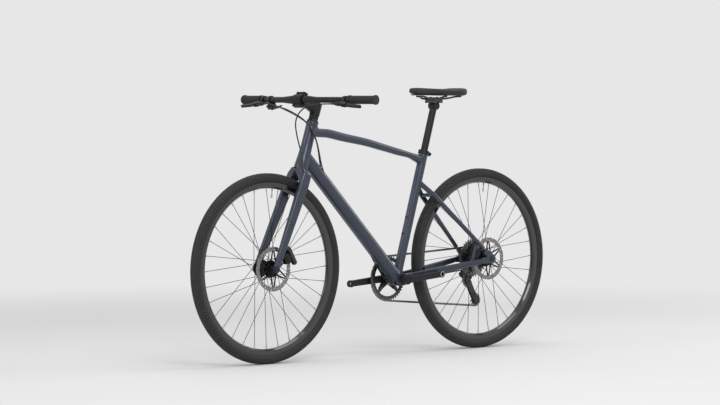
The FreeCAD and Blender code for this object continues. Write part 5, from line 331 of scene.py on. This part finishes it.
def grid(rows, sides, closed=False):
    """Quads between rows of rings; a closed grid joins its last row to its first, another is capped."""
    faces = []
    for i in range(rows if closed else rows - 1):
        faces.extend(strip(i * sides, (i + 1) % rows * sides, sides))
    if not closed:
        faces.append(tuple(reversed(range(sides))))
        faces.append(tuple((rows - 1) * sides + k for k in range(sides)))
    return faces


def gather(parts):
    """One mesh's points and faces from several."""
    points, faces = [], []
    for more_points, more_faces in parts:
        base = len(points)
        points.extend(more_points)
        faces.extend(tuple(index + base for index in face) for face in more_faces)
    return points, faces


ROUTE_STEPS = 14


def spline_points(route):
    """Points read from the NURBS spline that has the route as its control points."""
    data = bpy.data.curves.new("route", "CURVE")
    data.dimensions = "3D"
    spline = data.splines.new("NURBS")
    spline.points.add(len(route) - 1)
    for point, place in zip(spline.points, route):
        point.co = (*place, 1.0)
    spline.order_u = 3
    spline.use_endpoint_u = True
    spline.resolution_u = ROUTE_STEPS
    holder = bpy.data.objects.new("route", data)
    bpy.context.scene.collection.objects.link(holder)
    graph = bpy.context.evaluated_depsgraph_get()
    mesh = bpy.data.meshes.new_from_object(holder.evaluated_get(graph))
    points = [vertex.co.copy() for vertex in mesh.vertices]
    bpy.data.objects.remove(holder)
    bpy.data.meshes.remove(mesh)
    return points


def tube(points, radii, sides=12):
    """Points and faces of a round tube, with its ring turned as little as it can be."""
    last = len(points) - 1
    side = (points[1] - points[0]).orthogonal().normalized()
    ring_points = []
    for i, point in enumerate(points):
        ahead = (points[min(i + 1, last)] - points[max(i - 1, 0)]).normalized()
        side = (side - ahead * side.dot(ahead)).normalized()
        other = ahead.cross(side)
        for angle in turns(sides):
            ring_points.append(point + (side * math.cos(angle) + other * math.sin(angle)) * radii[i])
    return ring_points, grid(len(points), sides)


# Hoses and gear cable, on the routes of their solids
HOSE_RADIUS = 0.0025
CABLE_RADIUS = 0.0022
FERRULE_LENGTH = 0.017
FERRULE_TAPER = 0.004
FERRULE_GROWTH = 0.42
HOSE_CREASE = math.radians(40)
FRONT_HOSE = [
    (0.3867, 0.1967, 0.9541), (0.392, 0.1631, 0.9541), (0.424, 0.108, 0.951), (0.43, 0.058, 0.93),
    (0.424, 0.022, 0.89), (0.414, 0.019, 0.842), (0.406, 0.028, 0.795), (0.399, 0.038, 0.748),
    (0.4039, 0.0419, 0.647), (0.4327, 0.0448, 0.5863), (0.4616, 0.0477, 0.5255),
    (0.5105, 0.0395, 0.4532), (0.4895, 0.0395, 0.4168),
]
REAR_HOSE = [
    (0.3867, -0.1967, 0.9541), (0.392, -0.1631, 0.9541), (0.394, -0.118, 0.946), (0.394, -0.062, 0.93),
    (0.387, -0.012, 0.911), (0.366, 0.024, 0.884), (0.345, 0.036, 0.85), (0.325, 0.037, 0.803),
    (0.2861, 0.0192, 0.7023), (0.2203, 0.0096, 0.6177), (0.0575, 0.0096, 0.4419),
    (-0.0246, 0.0096, 0.3172), (-0.1016, 0.0096, 0.253), (-0.162, 0.0284, 0.275),
    (-0.2407, 0.0396, 0.2878), (-0.3281, 0.0409, 0.3021), (-0.4478, 0.0555, 0.3146),
    (-0.4582, 0.0555, 0.3466),
]
GEAR_CABLE = [
    (0.3747, -0.1594, 0.9406), (0.3777, -0.1406, 0.9406), (0.382, -0.092, 0.939), (0.377, -0.044, 0.922),
    (0.366, -0.004, 0.901), (0.35, 0.023, 0.872), (0.335, 0.029, 0.838), (0.319, 0.03, 0.797),
    (0.2861, 0.0096, 0.7023), (0.2203, -0.0096, 0.6177), (0.0575, -0.0096, 0.4419),
    (-0.0246, -0.0096, 0.3172), (-0.1016, -0.0096, 0.253), (-0.1619, -0.0284, 0.2753),
    (-0.2406, -0.0396, 0.2881), (-0.3806, -0.0601, 0.311), (-0.4599, -0.08, 0.3162),
    (-0.5074, -0.0948, 0.3162), (-0.5454, -0.0948, 0.321),
]


def flexible(node, route, radius):
    """Hose that leaves its fitting through a tapered ferrule at each end."""
    path = spline_points(route)
    radii = []
    for point in path:
        near = min((point - path[0]).length, (point - path[-1]).length)
        share = max(0.0, min(1.0, (FERRULE_LENGTH - near) / FERRULE_TAPER))
        radii.append(radius * (1.0 + FERRULE_GROWTH * share))
    points, faces = tube(path, radii)
    piece = link_mesh(node + "_tube", points, faces, hose_skin, sharp=HOSE_CREASE)
    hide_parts(node)
    return piece


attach(flexible("front_hose", FRONT_HOSE, HOSE_RADIUS), "steering")
for node, route, radius in (
    ("rear_hose", REAR_HOSE, HOSE_RADIUS),
    ("gear_cable", GEAR_CABLE, CABLE_RADIUS),
):
    piece = flexible(node, route, radius)
    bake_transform(piece)


# Tyres: a turned casing with rows of tread blocks
TYRE_HALF_WIDTH = 0.020
TYRE_BEAD = 0.3135
TYRE_SWEEP_share = 0.985
TYRE_SQUARENESS = 0.85
TYRE_STEPS = 22
TYRE_SIDES = 180
KNOB_PITCH = 0.0090
KNOB_ROOT = 0.0012
KNOB_SLOPE = 0.01
KNOB_CREASE = math.radians(35)
CROWN_HALF_WIDTH = 0.004


def tyre_profile(share):
    """Half-section of the tyre from the bead, at 0, to the crown, at 1: across, and out from the axle."""
    half_height = (TYRE_RADIUS - TYRE_BEAD) / 2
    angle = math.pi * (share * TYRE_SWEEP_share - 0.5)
    across = TYRE_HALF_WIDTH * max(math.cos(angle), 0) ** TYRE_SQUARENESS
    return across, TYRE_BEAD + half_height * (1 + math.sin(angle))


def tyre(end, axle, rows):
    """Casing turned about the axle, and the tread blocks that stand on it."""
    half = [tyre_profile(k / TYRE_STEPS) for k in range(TYRE_STEPS + 1)]
    section = half + [(-across, out) for across, out in reversed(half)]
    points = [
        axle + Vector((out * math.cos(angle), across, out * math.sin(angle)))
        for angle in turns(TYRE_SIDES)
        for across, out in section
    ]
    faces = grid(TYRE_SIDES, len(section), closed=True)
    casing = link_mesh(end + "_casing", points, faces, tyre_rubber)
    blocks = []
    for share, length, width, rise, pitches, shift in rows:
        total = round(2 * math.pi * TYRE_RADIUS / (KNOB_PITCH * pitches))
        for side in (1, -1):
            for i in range(total):
                blocks.append(knob(axle, side, share, length, width, rise, (i + shift) / total))
    points, faces = gather(blocks)
    # The blocks take the lighter grey, painted light against the casing's painted shade
    tread = link_mesh(end + "_tread", points, faces, tread_lit_rubber, sharp=KNOB_CREASE)
    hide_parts(end + "_tyre")
    for piece in (casing, tread):
        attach(piece, end + "_wheel")


def knob(axle, side, share, length, width, rise, turn):
    """One chamfered tread block standing on the casing."""
    middle = Vector(tyre_profile(share))
    run = Vector(tyre_profile(share + KNOB_SLOPE)) - Vector(tyre_profile(share - KNOB_SLOPE))
    run.normalize()
    away = Vector((-run.y, run.x))
    on_crown = abs(middle.x) <= CROWN_HALF_WIDTH
    if (away.y if on_crown else away.x * middle.x) < 0:
        away = -away
    points = []
    for lift, shrink in ((-KNOB_ROOT, 1.0), (rise * 0.6, 0.96), (rise, 0.74)):
        for across_way, round_way in ((-1, -1), (-1, 1), (1, 1), (1, -1)):
            place = middle + run * (across_way * width / 2 * shrink) + away * lift
            angle = 2 * math.pi * turn + round_way * length / 2 * shrink / TYRE_RADIUS
            offset = Vector((place.y * math.cos(angle), side * place.x, place.y * math.sin(angle)))
            points.append(axle + offset)
    faces = [(0, 1, 2, 3), (8, 9, 10, 11)] + strip(0, 4, 4) + strip(4, 8, 4)
    return points, faces


# Each row: place on the section, block length, width, rise, pitches apart, shift in pitches
TREAD_ROWS = (
    (0.62, 0.0062, 0.0058, 0.0019, 1.5, 0.0),
    (0.735, 0.0058, 0.0050, 0.0016, 1.0, 0.5),
    (0.835, 0.0050, 0.0044, 0.0011, 1.0, 0.0),
    (0.935, 0.0048, 0.0040, 0.0007, 1.0, 0.5),
)
tyre("front", FRONT_AXLE, TREAD_ROWS)
tyre("rear", REAR_AXLE, TREAD_ROWS)


# Saddle cover: crowned pad with a pressure channel, a stitched seam each side and an edge bead
SADDLE_NOSE = -0.18135
SADDLE_FLOOR = 0.98998
SADDLE_LENGTH = 0.268
SADDLE_HALF = 0.067
SADDLE_HEIGHT = 0.030
SADDLE_STEPS = 72
SADDLE_SIDES = 64
# Stations along the saddle from its nose, and there its half width, top, floor and drooping edge as shares
SADDLE_PLACES = (0.0, 0.05, 0.24, 0.45, 0.66, 0.82, 0.93, 1.0)
SADDLE_WIDTHS = (0.14, 0.27, 0.33, 0.5, 0.88, 1.0, 0.8, 0.36)
SADDLE_TOPS = (0.62, 0.78, 0.78, 0.7, 0.66, 0.72, 0.78, 0.62)
SADDLE_FLOORS = (0.3, 0.1, 0.0, 0.0, 0.0, 0.0, 0.05, 0.2)
SADDLE_DROOPS = (0.02, 0.02, 0.02, 0.06, 0.22, 0.3, 0.2, 0.02)
# Powers that square the section's sides, its crown and its underside
SIDE_POWER, CROWN_POWER, UNDER_POWER = 0.62, 0.72, 0.3
EDGE_share = 0.86
CHANNEL_DEPTH = 0.0024
CHANNEL_HALF_WIDTH = 0.0075
CHANNEL_START_share, CHANNEL_RUN_share = 0.2, 0.68
CHANNEL_POWER = 0.6
# Rounding of the two ends: the share of the length it takes, and the section's size at the very end
END_ROUND_share = 0.022
END_SIZE_share = 0.55
# Trim: points of the section that carry it, where it starts and runs, and its sizes
PIPING_POINTS = (5, 59)
SEAM_POINTS = (23, 41)
PIPING_START, PIPING_RUN, PIPING_STEPS = 0.03, 0.94, 90
SEAM_START, SEAM_RUN, SEAM_STEPS = 0.06, 0.88, 120
PIPING_RADIUS = 0.0014
SEAM_RADIUS = 0.0007
STITCH_RADIUS, STITCH_TIP = 0.00055, 0.0002
STITCH_COUNT = 58
STITCH_LENGTH_share = 0.009


def along_saddle(values, place):
    """Smooth value through the saddle's stations (a Hermite curve with averaged slopes)."""
    last = len(SADDLE_PLACES) - 1
    i = max(k for k in range(last) if SADDLE_PLACES[k] <= place or k == 0)

    def slope(k):
        low, high = max(k - 1, 0), min(k + 1, last)
        return (values[high] - values[low]) / (SADDLE_PLACES[high] - SADDLE_PLACES[low])

    span = SADDLE_PLACES[i + 1] - SADDLE_PLACES[i]
    t = (place - SADDLE_PLACES[i]) / span
    return (
        (2 * t ** 3 - 3 * t ** 2 + 1) * values[i]
        + (t ** 3 - 2 * t ** 2 + t) * span * slope(i)
        + (3 * t ** 2 - 2 * t ** 3) * values[i + 1]
        + (t ** 3 - t ** 2) * span * slope(i + 1)
    )


def saddle_ring(place, grow):
    """Closed section of the cover, from the middle of its underside round to the start."""
    half = SADDLE_HALF * along_saddle(SADDLE_WIDTHS, place) * grow
    floor = SADDLE_HEIGHT * along_saddle(SADDLE_FLOORS, place)
    top = SADDLE_HEIGHT * along_saddle(SADDLE_TOPS, place)
    edge = floor - SADDLE_HEIGHT * along_saddle(SADDLE_DROOPS, place)
    middle = (floor + top) / 2
    rise = (top - floor) / 2 * grow
    run = min(max((place - CHANNEL_START_share) / CHANNEL_RUN_share, 0), 1)
    channel = CHANNEL_DEPTH * max(0.0, math.sin(math.pi * run)) ** CHANNEL_POWER
    ring = []
    for turn in turns(SADDLE_SIDES):
        angle = turn - math.pi / 2
        out, up = math.cos(angle), math.sin(angle)
        y = half * math.copysign(abs(out) ** SIDE_POWER, out)
        if up >= 0:
            z = middle + rise * up ** CROWN_POWER
            z -= channel * math.exp(-(y / CHANNEL_HALF_WIDTH) ** 2) * up
        else:
            bottom = floor + (edge - floor) * min(abs(y) / max(half * EDGE_share, 0.001), 1) ** 2
            z = middle + (bottom - middle) * abs(up) ** UNDER_POWER
        ring.append(Vector((SADDLE_NOSE - SADDLE_LENGTH * place, y, SADDLE_FLOOR + z)))
    return ring


def saddle():
    """Cover lofted through its sections, which close in at the nose and tail."""
    points = []
    for i in range(SADDLE_STEPS + 1):
        place = 0.5 - 0.5 * math.cos(math.pi * i / SADDLE_STEPS)
        inward = 1 - min(min(place, 1 - place) / END_ROUND_share, 1)
        grow = END_SIZE_share + (1 - END_SIZE_share) * (1 - inward ** 2) ** 0.5
        points.extend(saddle_ring(place, grow))
    cover = link_mesh("saddle_pad", points, grid(SADDLE_STEPS + 1, SADDLE_SIDES), saddle_skin)
    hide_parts("saddle_cover")
    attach(cover, "saddle")


def on_cover(place, k):
    return saddle_ring(place, 1.0)[k]


def cover_line(start, run, steps, k, radius, sides):
    """Thin round bead that follows one point of the cover's sections."""
    path = [on_cover(start + run * i / steps, k) for i in range(steps + 1)]
    return tube(path, [radius] * len(path), sides=sides)


def saddle_trim():
    """Piped edge, two seams on the top and their stitches."""
    beads, stitches = [], []
    for k in PIPING_POINTS:
        beads.append(cover_line(PIPING_START, PIPING_RUN, PIPING_STEPS, k, PIPING_RADIUS, 8))
    radii = (STITCH_TIP, STITCH_RADIUS, STITCH_RADIUS, STITCH_TIP)
    for k in SEAM_POINTS:
        beads.append(cover_line(SEAM_START, SEAM_RUN, SEAM_STEPS, k, SEAM_RADIUS, 6))
        beside = k + (1 if k < SADDLE_SIDES / 2 else -1)
        for i in range(STITCH_COUNT):
            place = SEAM_START + SEAM_RUN * 2 * i / SEAM_STEPS
            near, far = on_cover(place, beside), on_cover(place + STITCH_LENGTH_share, beside)
            path = [near.lerp(far, share) for share in (0.0, 0.3, 0.7, 1.0)]
            stitches.append(tube(path, radii, sides=6))
    for name, parts, material in (
        ("saddle_piping", beads, saddle_skin),
        ("saddle_stitches", stitches, thread),
    ):
        points, faces = gather(parts)
        piece = link_mesh(name, points, faces, material)
        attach(piece, "saddle")


saddle()
saddle_trim()


# Weld beads where the frame's tubes meet
SECTION_POINTS = 72
SECTION_REACH = 0.06
WELD_REACH = 0.09
WELD_BACK = 0.002
WELD_FACING = 0.42
WELD_CORNER = 0.15
WELD_STEPS = 7
WELD_TAPER_STEPS = 6
WELD_STRAY = 0.009
WELD_BREAK = 0.012
WELD_LIFT = 0.00025
WELD_HOLLOW_share, WELD_ROOT_share = 0.16, 0.4
RIPPLE_HEIGHT, RIPPLE_STEP = 0.00018, 2.4


def world_tree(*names):
    """Search tree over the solids' meshes, in world space."""
    points, faces = [], []
    for name in names:
        node = NODES[name]
        base = len(points)
        points.extend(node.matrix_world @ vertex.co for vertex in node.data.vertices)
        faces.extend([base + index for index in face.vertices] for face in node.data.polygons)
    return BVHTree.FromPolygons(points, faces)


def section_ring(name, centre, axis, side):
    """Outer outline of a tube where a plane cuts it, as points at even angles."""
    node = NODES[name]
    work = bmesh.new()
    work.from_mesh(node.data)
    work.transform(node.matrix_world)
    geometry = work.verts[:] + work.edges[:] + work.faces[:]
    cut = bmesh.ops.bisect_plane(work, geom=geometry, plane_co=centre, plane_no=axis)
    found = [item.co.copy() for item in cut["geom_cut"] if isinstance(item, bmesh.types.BMVert)]
    work.free()
    if side:
        found = [point for point in found if point.y * side > 0]
    found = [point for point in found if (point - centre).length < SECTION_REACH]
    middle = sum(found, Vector()) / len(found)
    right = (Vector((0, 1, 0)) - axis * axis.y).normalized()
    up = axis.cross(right)
    furthest = {}
    for point in found:
        offset = point - middle
        share = (math.atan2(offset.dot(up), offset.dot(right)) + math.pi) / (2 * math.pi)
        place = int(share * SECTION_POINTS) % SECTION_POINTS
        if place not in furthest or offset.length > (furthest[place] - middle).length:
            furthest[place] = point
    return [furthest[place] for place in sorted(furthest)]


def apart(one, other):
    return (one[0] - other[0]).length


def evened(rings):
    """Bead line without stray points, each place averaged with its neighbours, thinning at its ends."""
    count = len(rings)
    kept = [
        ring
        for i, ring in enumerate(rings)
        if min(apart(ring, rings[i - 1]), apart(ring, rings[(i + 1) % count])) < WELD_STRAY
    ]
    count = len(kept)
    for _ in range(2):
        smooth = []
        for i, ring in enumerate(kept):
            before, after = kept[i - 1], kept[(i + 1) % count]
            if apart(before, after) <= 2 * WELD_BREAK:
                rows = zip(before, ring, after)
                ring = tuple(one * 0.5 + (low + high) * 0.25 for low, one, high in rows)
            smooth.append(ring)
        kept = smooth
    gaps = [i for i in range(count) if apart(kept[i], kept[i - 1]) > WELD_BREAK]
    tapered = []
    for i, (hit, low, high, normal, own_normal) in enumerate(kept):
        steps = min((min((i - gap) % count, (gap - 1 - i) % count) for gap in gaps), default=count)
        share = min(1.0, steps / WELD_TAPER_STEPS)
        tapered.append((hit, hit.lerp(low, share), hit.lerp(high, share), normal, own_normal, share))
    return tapered


def weld_line(joined, onto, centre, axis, side, size, by_wall):
    """Places where a tube lands on others, each with the bead's two edges and both normals.

    The tube's normal is read where it lands, or, by its wall, where the section was taken.
    """
    target, own = world_tree(*onto), world_tree(joined)
    rings = []
    for start in section_ring(joined, centre, axis, side):
        hit, normal, _, _ = target.ray_cast(start - axis * WELD_BACK, axis, WELD_REACH)
        if hit is None or abs(normal.dot(axis)) <= WELD_FACING:
            continue
        _, own_normal, _, _ = own.find_nearest(start if by_wall else hit)
        on_target = own_normal - normal * own_normal.dot(normal)
        on_own = normal - own_normal * normal.dot(own_normal)
        if min(on_target.length, on_own.length) < WELD_CORNER:
            continue
        low, high = (hit + way.normalized() * size for way in (on_target, on_own))
        rings.append((hit, low, high, normal, own_normal))
    return evened(rings)


def weld(label, joined, onto, centre, axis, side, size, by_wall=False):
    """Concave bead with a fine ripple, laid along the line where one tube lands on another."""
    rings = weld_line(joined, onto, Vector(centre), Vector(axis).normalized(), side, size, by_wall)
    points, faces = [], []
    for i, (hit, low, high, normal, own_normal, share) in enumerate(rings):
        out = (normal + own_normal).normalized()
        ripple = RIPPLE_HEIGHT * math.sin(RIPPLE_STEP * i)
        corner = hit + out * (size * WELD_HOLLOW_share + ripple) * share
        for k in range(WELD_STEPS):
            t = k / (WELD_STEPS - 1)
            curve = low * (1 - t) ** 2 + corner * 2 * t * (1 - t) + high * t ** 2
            points.append(curve + out * WELD_LIFT * share)
        points.append(hit - out * size * WELD_ROOT_share)
    row = WELD_STEPS + 1
    for i, ring in enumerate(rings):
        j = (i + 1) % len(rings)
        if apart(ring, rings[j]) <= WELD_BREAK:
            faces.extend(strip(i * row, j * row, row))
    piece = link_mesh("weld_" + label, points, faces, paint)
    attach(piece, "frame")


# Each weld: name, tube, what it lands on, a place near the tube's end, way to go on, side, bead size
HEAD_WAY = Vector((0.9806, 0, 0.1968))
DOWN_WAY = Vector((0.7021, 0, 0.7121))
SEAT_WAY = Vector((0.2874, 0, -0.9578))
SHELL = "bottom_bracket_shell"
weld("top_head", "top_tube", ("head_tube",), (0.2711, 0, 0.8452), HEAD_WAY, 0, 0.0055)
weld("down_head", "down_tube", ("head_tube",), (0.2966, 0, 0.6952), DOWN_WAY, 0, 0.006)
weld("top_seat", "top_tube", ("seat_tube",), (-0.1943, 0, 0.7480), -HEAD_WAY, 0, 0.005)
weld("down_shell", "down_tube", (SHELL,), (-0.0720, 0, 0.3212), -DOWN_WAY, 0, 0.0045, by_wall=True)
weld("seat_shell", "seat_tube", (SHELL, "down_tube"), (-0.1300, 0, 0.3638), SEAT_WAY, 0, 0.0045)
for side, letter in ((1, "left"), (-1, "right")):
    place, way = (-0.1505, side * 0.0271, 0.2924), (0.980, side * -0.138, -0.143)
    weld("chain_shell_" + letter, "chainstays", (SHELL,), place, way, side, 0.004, by_wall=True)
    place, way = (-0.2495, side * 0.0244, 0.6226), (0.69, side * -0.34, 0.64)
    weld("stay_seat_" + letter, "seatstays", ("seat_tube",), place, way, side, 0.0035, by_wall=True)


# Small fittings: rubber ports where the lines enter the frame, and steel eyes in the cranks
PORT_RAYS = 8
PORT_RAY_RADIUS = 0.0075
PORT_RADIUS = 0.0048
PORT_STRETCH = 1.9
PORT_LIP_HALF, PORT_LIP_HEIGHT = 0.0016, 0.0011
PORT_SIDES, PORT_LIP_SIDES = 40, 8
EYE_SIDES = 48
EYE_CREASE = math.radians(35)
# Section of a pedal eye: out along its axis, and radius
EYE_PROFILE = (
    (0.0, 0.0074), (0.0, 0.0106), (0.0005, 0.0104), (0.0007, 0.0100), (0.0007, 0.0078), (-0.004, 0.0073),
)
EYE_PLACES = {"left": (-0.276997, 0.0775, 0.300904), "right": (0.063702, -0.0775, 0.271096)}


def entry(tree, route):
    """Mean place, surface normal and way of travel where a line goes through a surface."""
    path = spline_points(route)
    found = {}
    for near, far in zip(path, path[1:]):
        ahead = (far - near).normalized()
        across = ahead.orthogonal().normalized() * PORT_RAY_RADIUS
        for k, turn in enumerate(turns(PORT_RAYS)):
            start = near + Matrix.Rotation(turn, 3, ahead) @ across
            hit, normal, _, _ = tree.ray_cast(start, ahead, (far - near).length)
            if hit is not None:
                found.setdefault(k, (hit, normal, ahead))
        if len(found) == PORT_RAYS:
            break
    return (sum(column, Vector()) / len(found) for column in zip(*found.values()))


def line_port(label, route):
    """Oval rubber grommet where a line goes into the down tube."""
    tree = world_tree("down_tube")
    hit, normal, ahead = entry(tree, route)
    normal.normalize()
    run = (ahead - normal * ahead.dot(normal)).normalized()
    side = normal.cross(run)
    points = []
    for turn in turns(PORT_SIDES):
        out = run * math.cos(turn) * PORT_STRETCH + side * math.sin(turn)
        away = (run * math.cos(turn) + side * math.sin(turn) * PORT_STRETCH).normalized()
        settled, up, _, _ = tree.find_nearest(hit + out * PORT_RADIUS)
        for angle in turns(PORT_LIP_SIDES):
            lip = away * (PORT_LIP_HALF * math.cos(angle)) + up * (PORT_LIP_HEIGHT * math.sin(angle))
            points.append(settled + lip)
    faces = grid(PORT_SIDES, PORT_LIP_SIDES, closed=True)
    piece = link_mesh("port_" + label, points, faces, rubber)
    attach(piece, "frame")


def pedal_eye(label, place):
    """Steel bush pressed into a crank's end, open through its middle."""
    centre = Vector(place)
    axis = Vector((0, math.copysign(1, centre.y), 0))
    side = axis.orthogonal().normalized()
    other = axis.cross(side)
    points = [
        centre + axis * out + (side * math.cos(angle) + other * math.sin(angle)) * radius
        for out, radius in EYE_PROFILE
        for angle in turns(EYE_SIDES)
    ]
    faces = [face for face in grid(len(EYE_PROFILE), EYE_SIDES) if len(face) == 4]
    piece = link_mesh("pedal_eye_" + label, points, faces, bright_steel, sharp=EYE_CREASE)
    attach(piece, "crankset")


line_port("hose", REAR_HOSE)
line_port("cable", GEAR_CABLE)
for label, place in EYE_PLACES.items():
    pedal_eye(label, place)


# Floor, light and camera
FLOOR_RADII = (0.4, 1.0, 2.5, 6.0, 15.0, 40.0, 120.0)
FLOOR_SIDES = 64
FADE_START, FADE_END = 1.6, 4.6
PALE = 0.80
WORLD_LIGHT = 0.42
CAMERA_TURN = math.radians(137.66)
CAMERA_PITCH = math.radians(2.03)
CAMERA_PLACE = Vector((7.685, 8.346, 0.982))
CAMERA_LENS = 150.0
CAMERA_SENSOR = 36.0
CAMERA_FAR = 100.0
# Each lamp: name, place, what it points at, size, power
LAMPS = (
    ("key_light", (2.4, 4.6, 4.2), (0, 0, 0.5), 3.2, 128.0),
    ("fill_light", (5.5, -1.0, 2.6), (0, 0, 0.5), 3.0, 60.0),
    ("top_light", (-0.6, 0.4, 5.0), (0, 0, 0.4), 4.0, 78.0),
    ("back_light", (-4.5, 1.5, 2.4), (0, 0, 0.6), 2.4, 52.0),
)


def looked_at(tree):
    """One where the camera, a gloss or a clear piece looks, else zero."""
    rays = add(tree, "LightPath", {}).outputs
    seen = calc(tree, "MAXIMUM", rays["Is Camera Ray"], rays["Is Glossy Ray"])
    return calc(tree, "MAXIMUM", seen, rays["Is Transmission Ray"])


def fade_out(material):
    """Let the floor pass into the pale background with the distance from the bike."""
    tree = material.node_tree
    output = next(node for node in tree.nodes if node.type == "OUTPUT_MATERIAL")
    lit = output.inputs["Surface"].links[0].from_socket
    length = add(tree, "VectorMath", {0: object_coordinates(tree)}, operation="LENGTH")
    span = {"Value": length.outputs["Value"], "From Min": FADE_START, "From Max": FADE_END}
    away = add(tree, "MapRange", span, interpolation_type="SMOOTHSTEP").outputs["Result"]
    glow = add(tree, "Emission", {"Color": (*grey(PALE), 1.0)}).outputs["Emission"]
    shown = calc(tree, "MULTIPLY", away, looked_at(tree))
    mix = add(tree, "MixShader", {"Fac": shown, 1: lit, 2: glow})
    tree.links.new(mix.outputs["Shader"], output.inputs["Surface"])


def floor():
    """Wide round pale floor."""
    points = [
        Vector((radius * math.cos(turn), radius * math.sin(turn), 0))
        for radius in FLOOR_RADII
        for turn in turns(FLOOR_SIDES)
    ]
    faces = grid(len(FLOOR_RADII), FLOOR_SIDES)[:-1]
    mesh = bpy.data.meshes.new("studio_floor")
    mesh.from_pydata([tuple(point) for point in points], [], [tuple(reversed(face)) for face in faces])
    piece = bpy.data.objects.new("studio_floor", mesh)
    bpy.context.scene.collection.objects.link(piece)
    paper = surface("floor_paper", grey(PALE), 0.015, 0.75, grain=60.0, strength=0.02, blotch=0.6)
    mesh.materials.append(paper)
    fade_out(paper)


def studio_world():
    """Even light for the bike, and a pale background where the camera or a gloss looks past the floor."""
    world = bpy.data.worlds.new("studio")
    bpy.context.scene.world = world
    world.use_nodes = True
    tree = world.node_tree
    tree.nodes.clear()
    light, pale = (
        add(tree, "Background", {"Color": (1.0, 1.0, 1.0, 1.0), "Strength": strength}).outputs["Background"]
        for strength in (WORLD_LIGHT, PALE)
    )
    mix = add(tree, "MixShader", {"Fac": looked_at(tree), 1: light, 2: pale})
    add(tree, "OutputWorld", {"Surface": mix.outputs["Shader"]})


def area_light(name, place, target, size, power):
    lamp = bpy.data.lights.new(name, "AREA")
    lamp.shape = "DISK"
    lamp.size = size
    lamp.energy = power
    holder = bpy.data.objects.new(name, lamp)
    holder.location = place
    aim = Vector(target) - Vector(place)
    holder.rotation_euler = aim.to_track_quat("-Z", "Y").to_euler()
    bpy.context.scene.collection.objects.link(holder)


def camera():
    """Camera at the photograph's viewing angle, fitted to the two wheels."""
    data = bpy.data.cameras.new("camera")
    data.sensor_width = CAMERA_SENSOR
    data.lens = CAMERA_LENS
    data.clip_end = CAMERA_FAR
    piece = bpy.data.objects.new("camera", data)
    level = math.cos(CAMERA_PITCH)
    back = Vector((
        math.sin(CAMERA_TURN) * level, -math.cos(CAMERA_TURN) * level, math.sin(CAMERA_PITCH)
    ))
    right = Vector((0, 0, 1)).cross(back).normalized()
    turn = Matrix((right, back.cross(right), back)).transposed().to_4x4()
    piece.matrix_world = Matrix.Translation(CAMERA_PLACE) @ turn
    bpy.context.scene.collection.objects.link(piece)
    bpy.context.scene.camera = piece


floor()
camera()
for lamp in LAMPS:
    area_light(*lamp)
studio_world()
bpy.context.scene.view_settings.view_transform = "Standard"
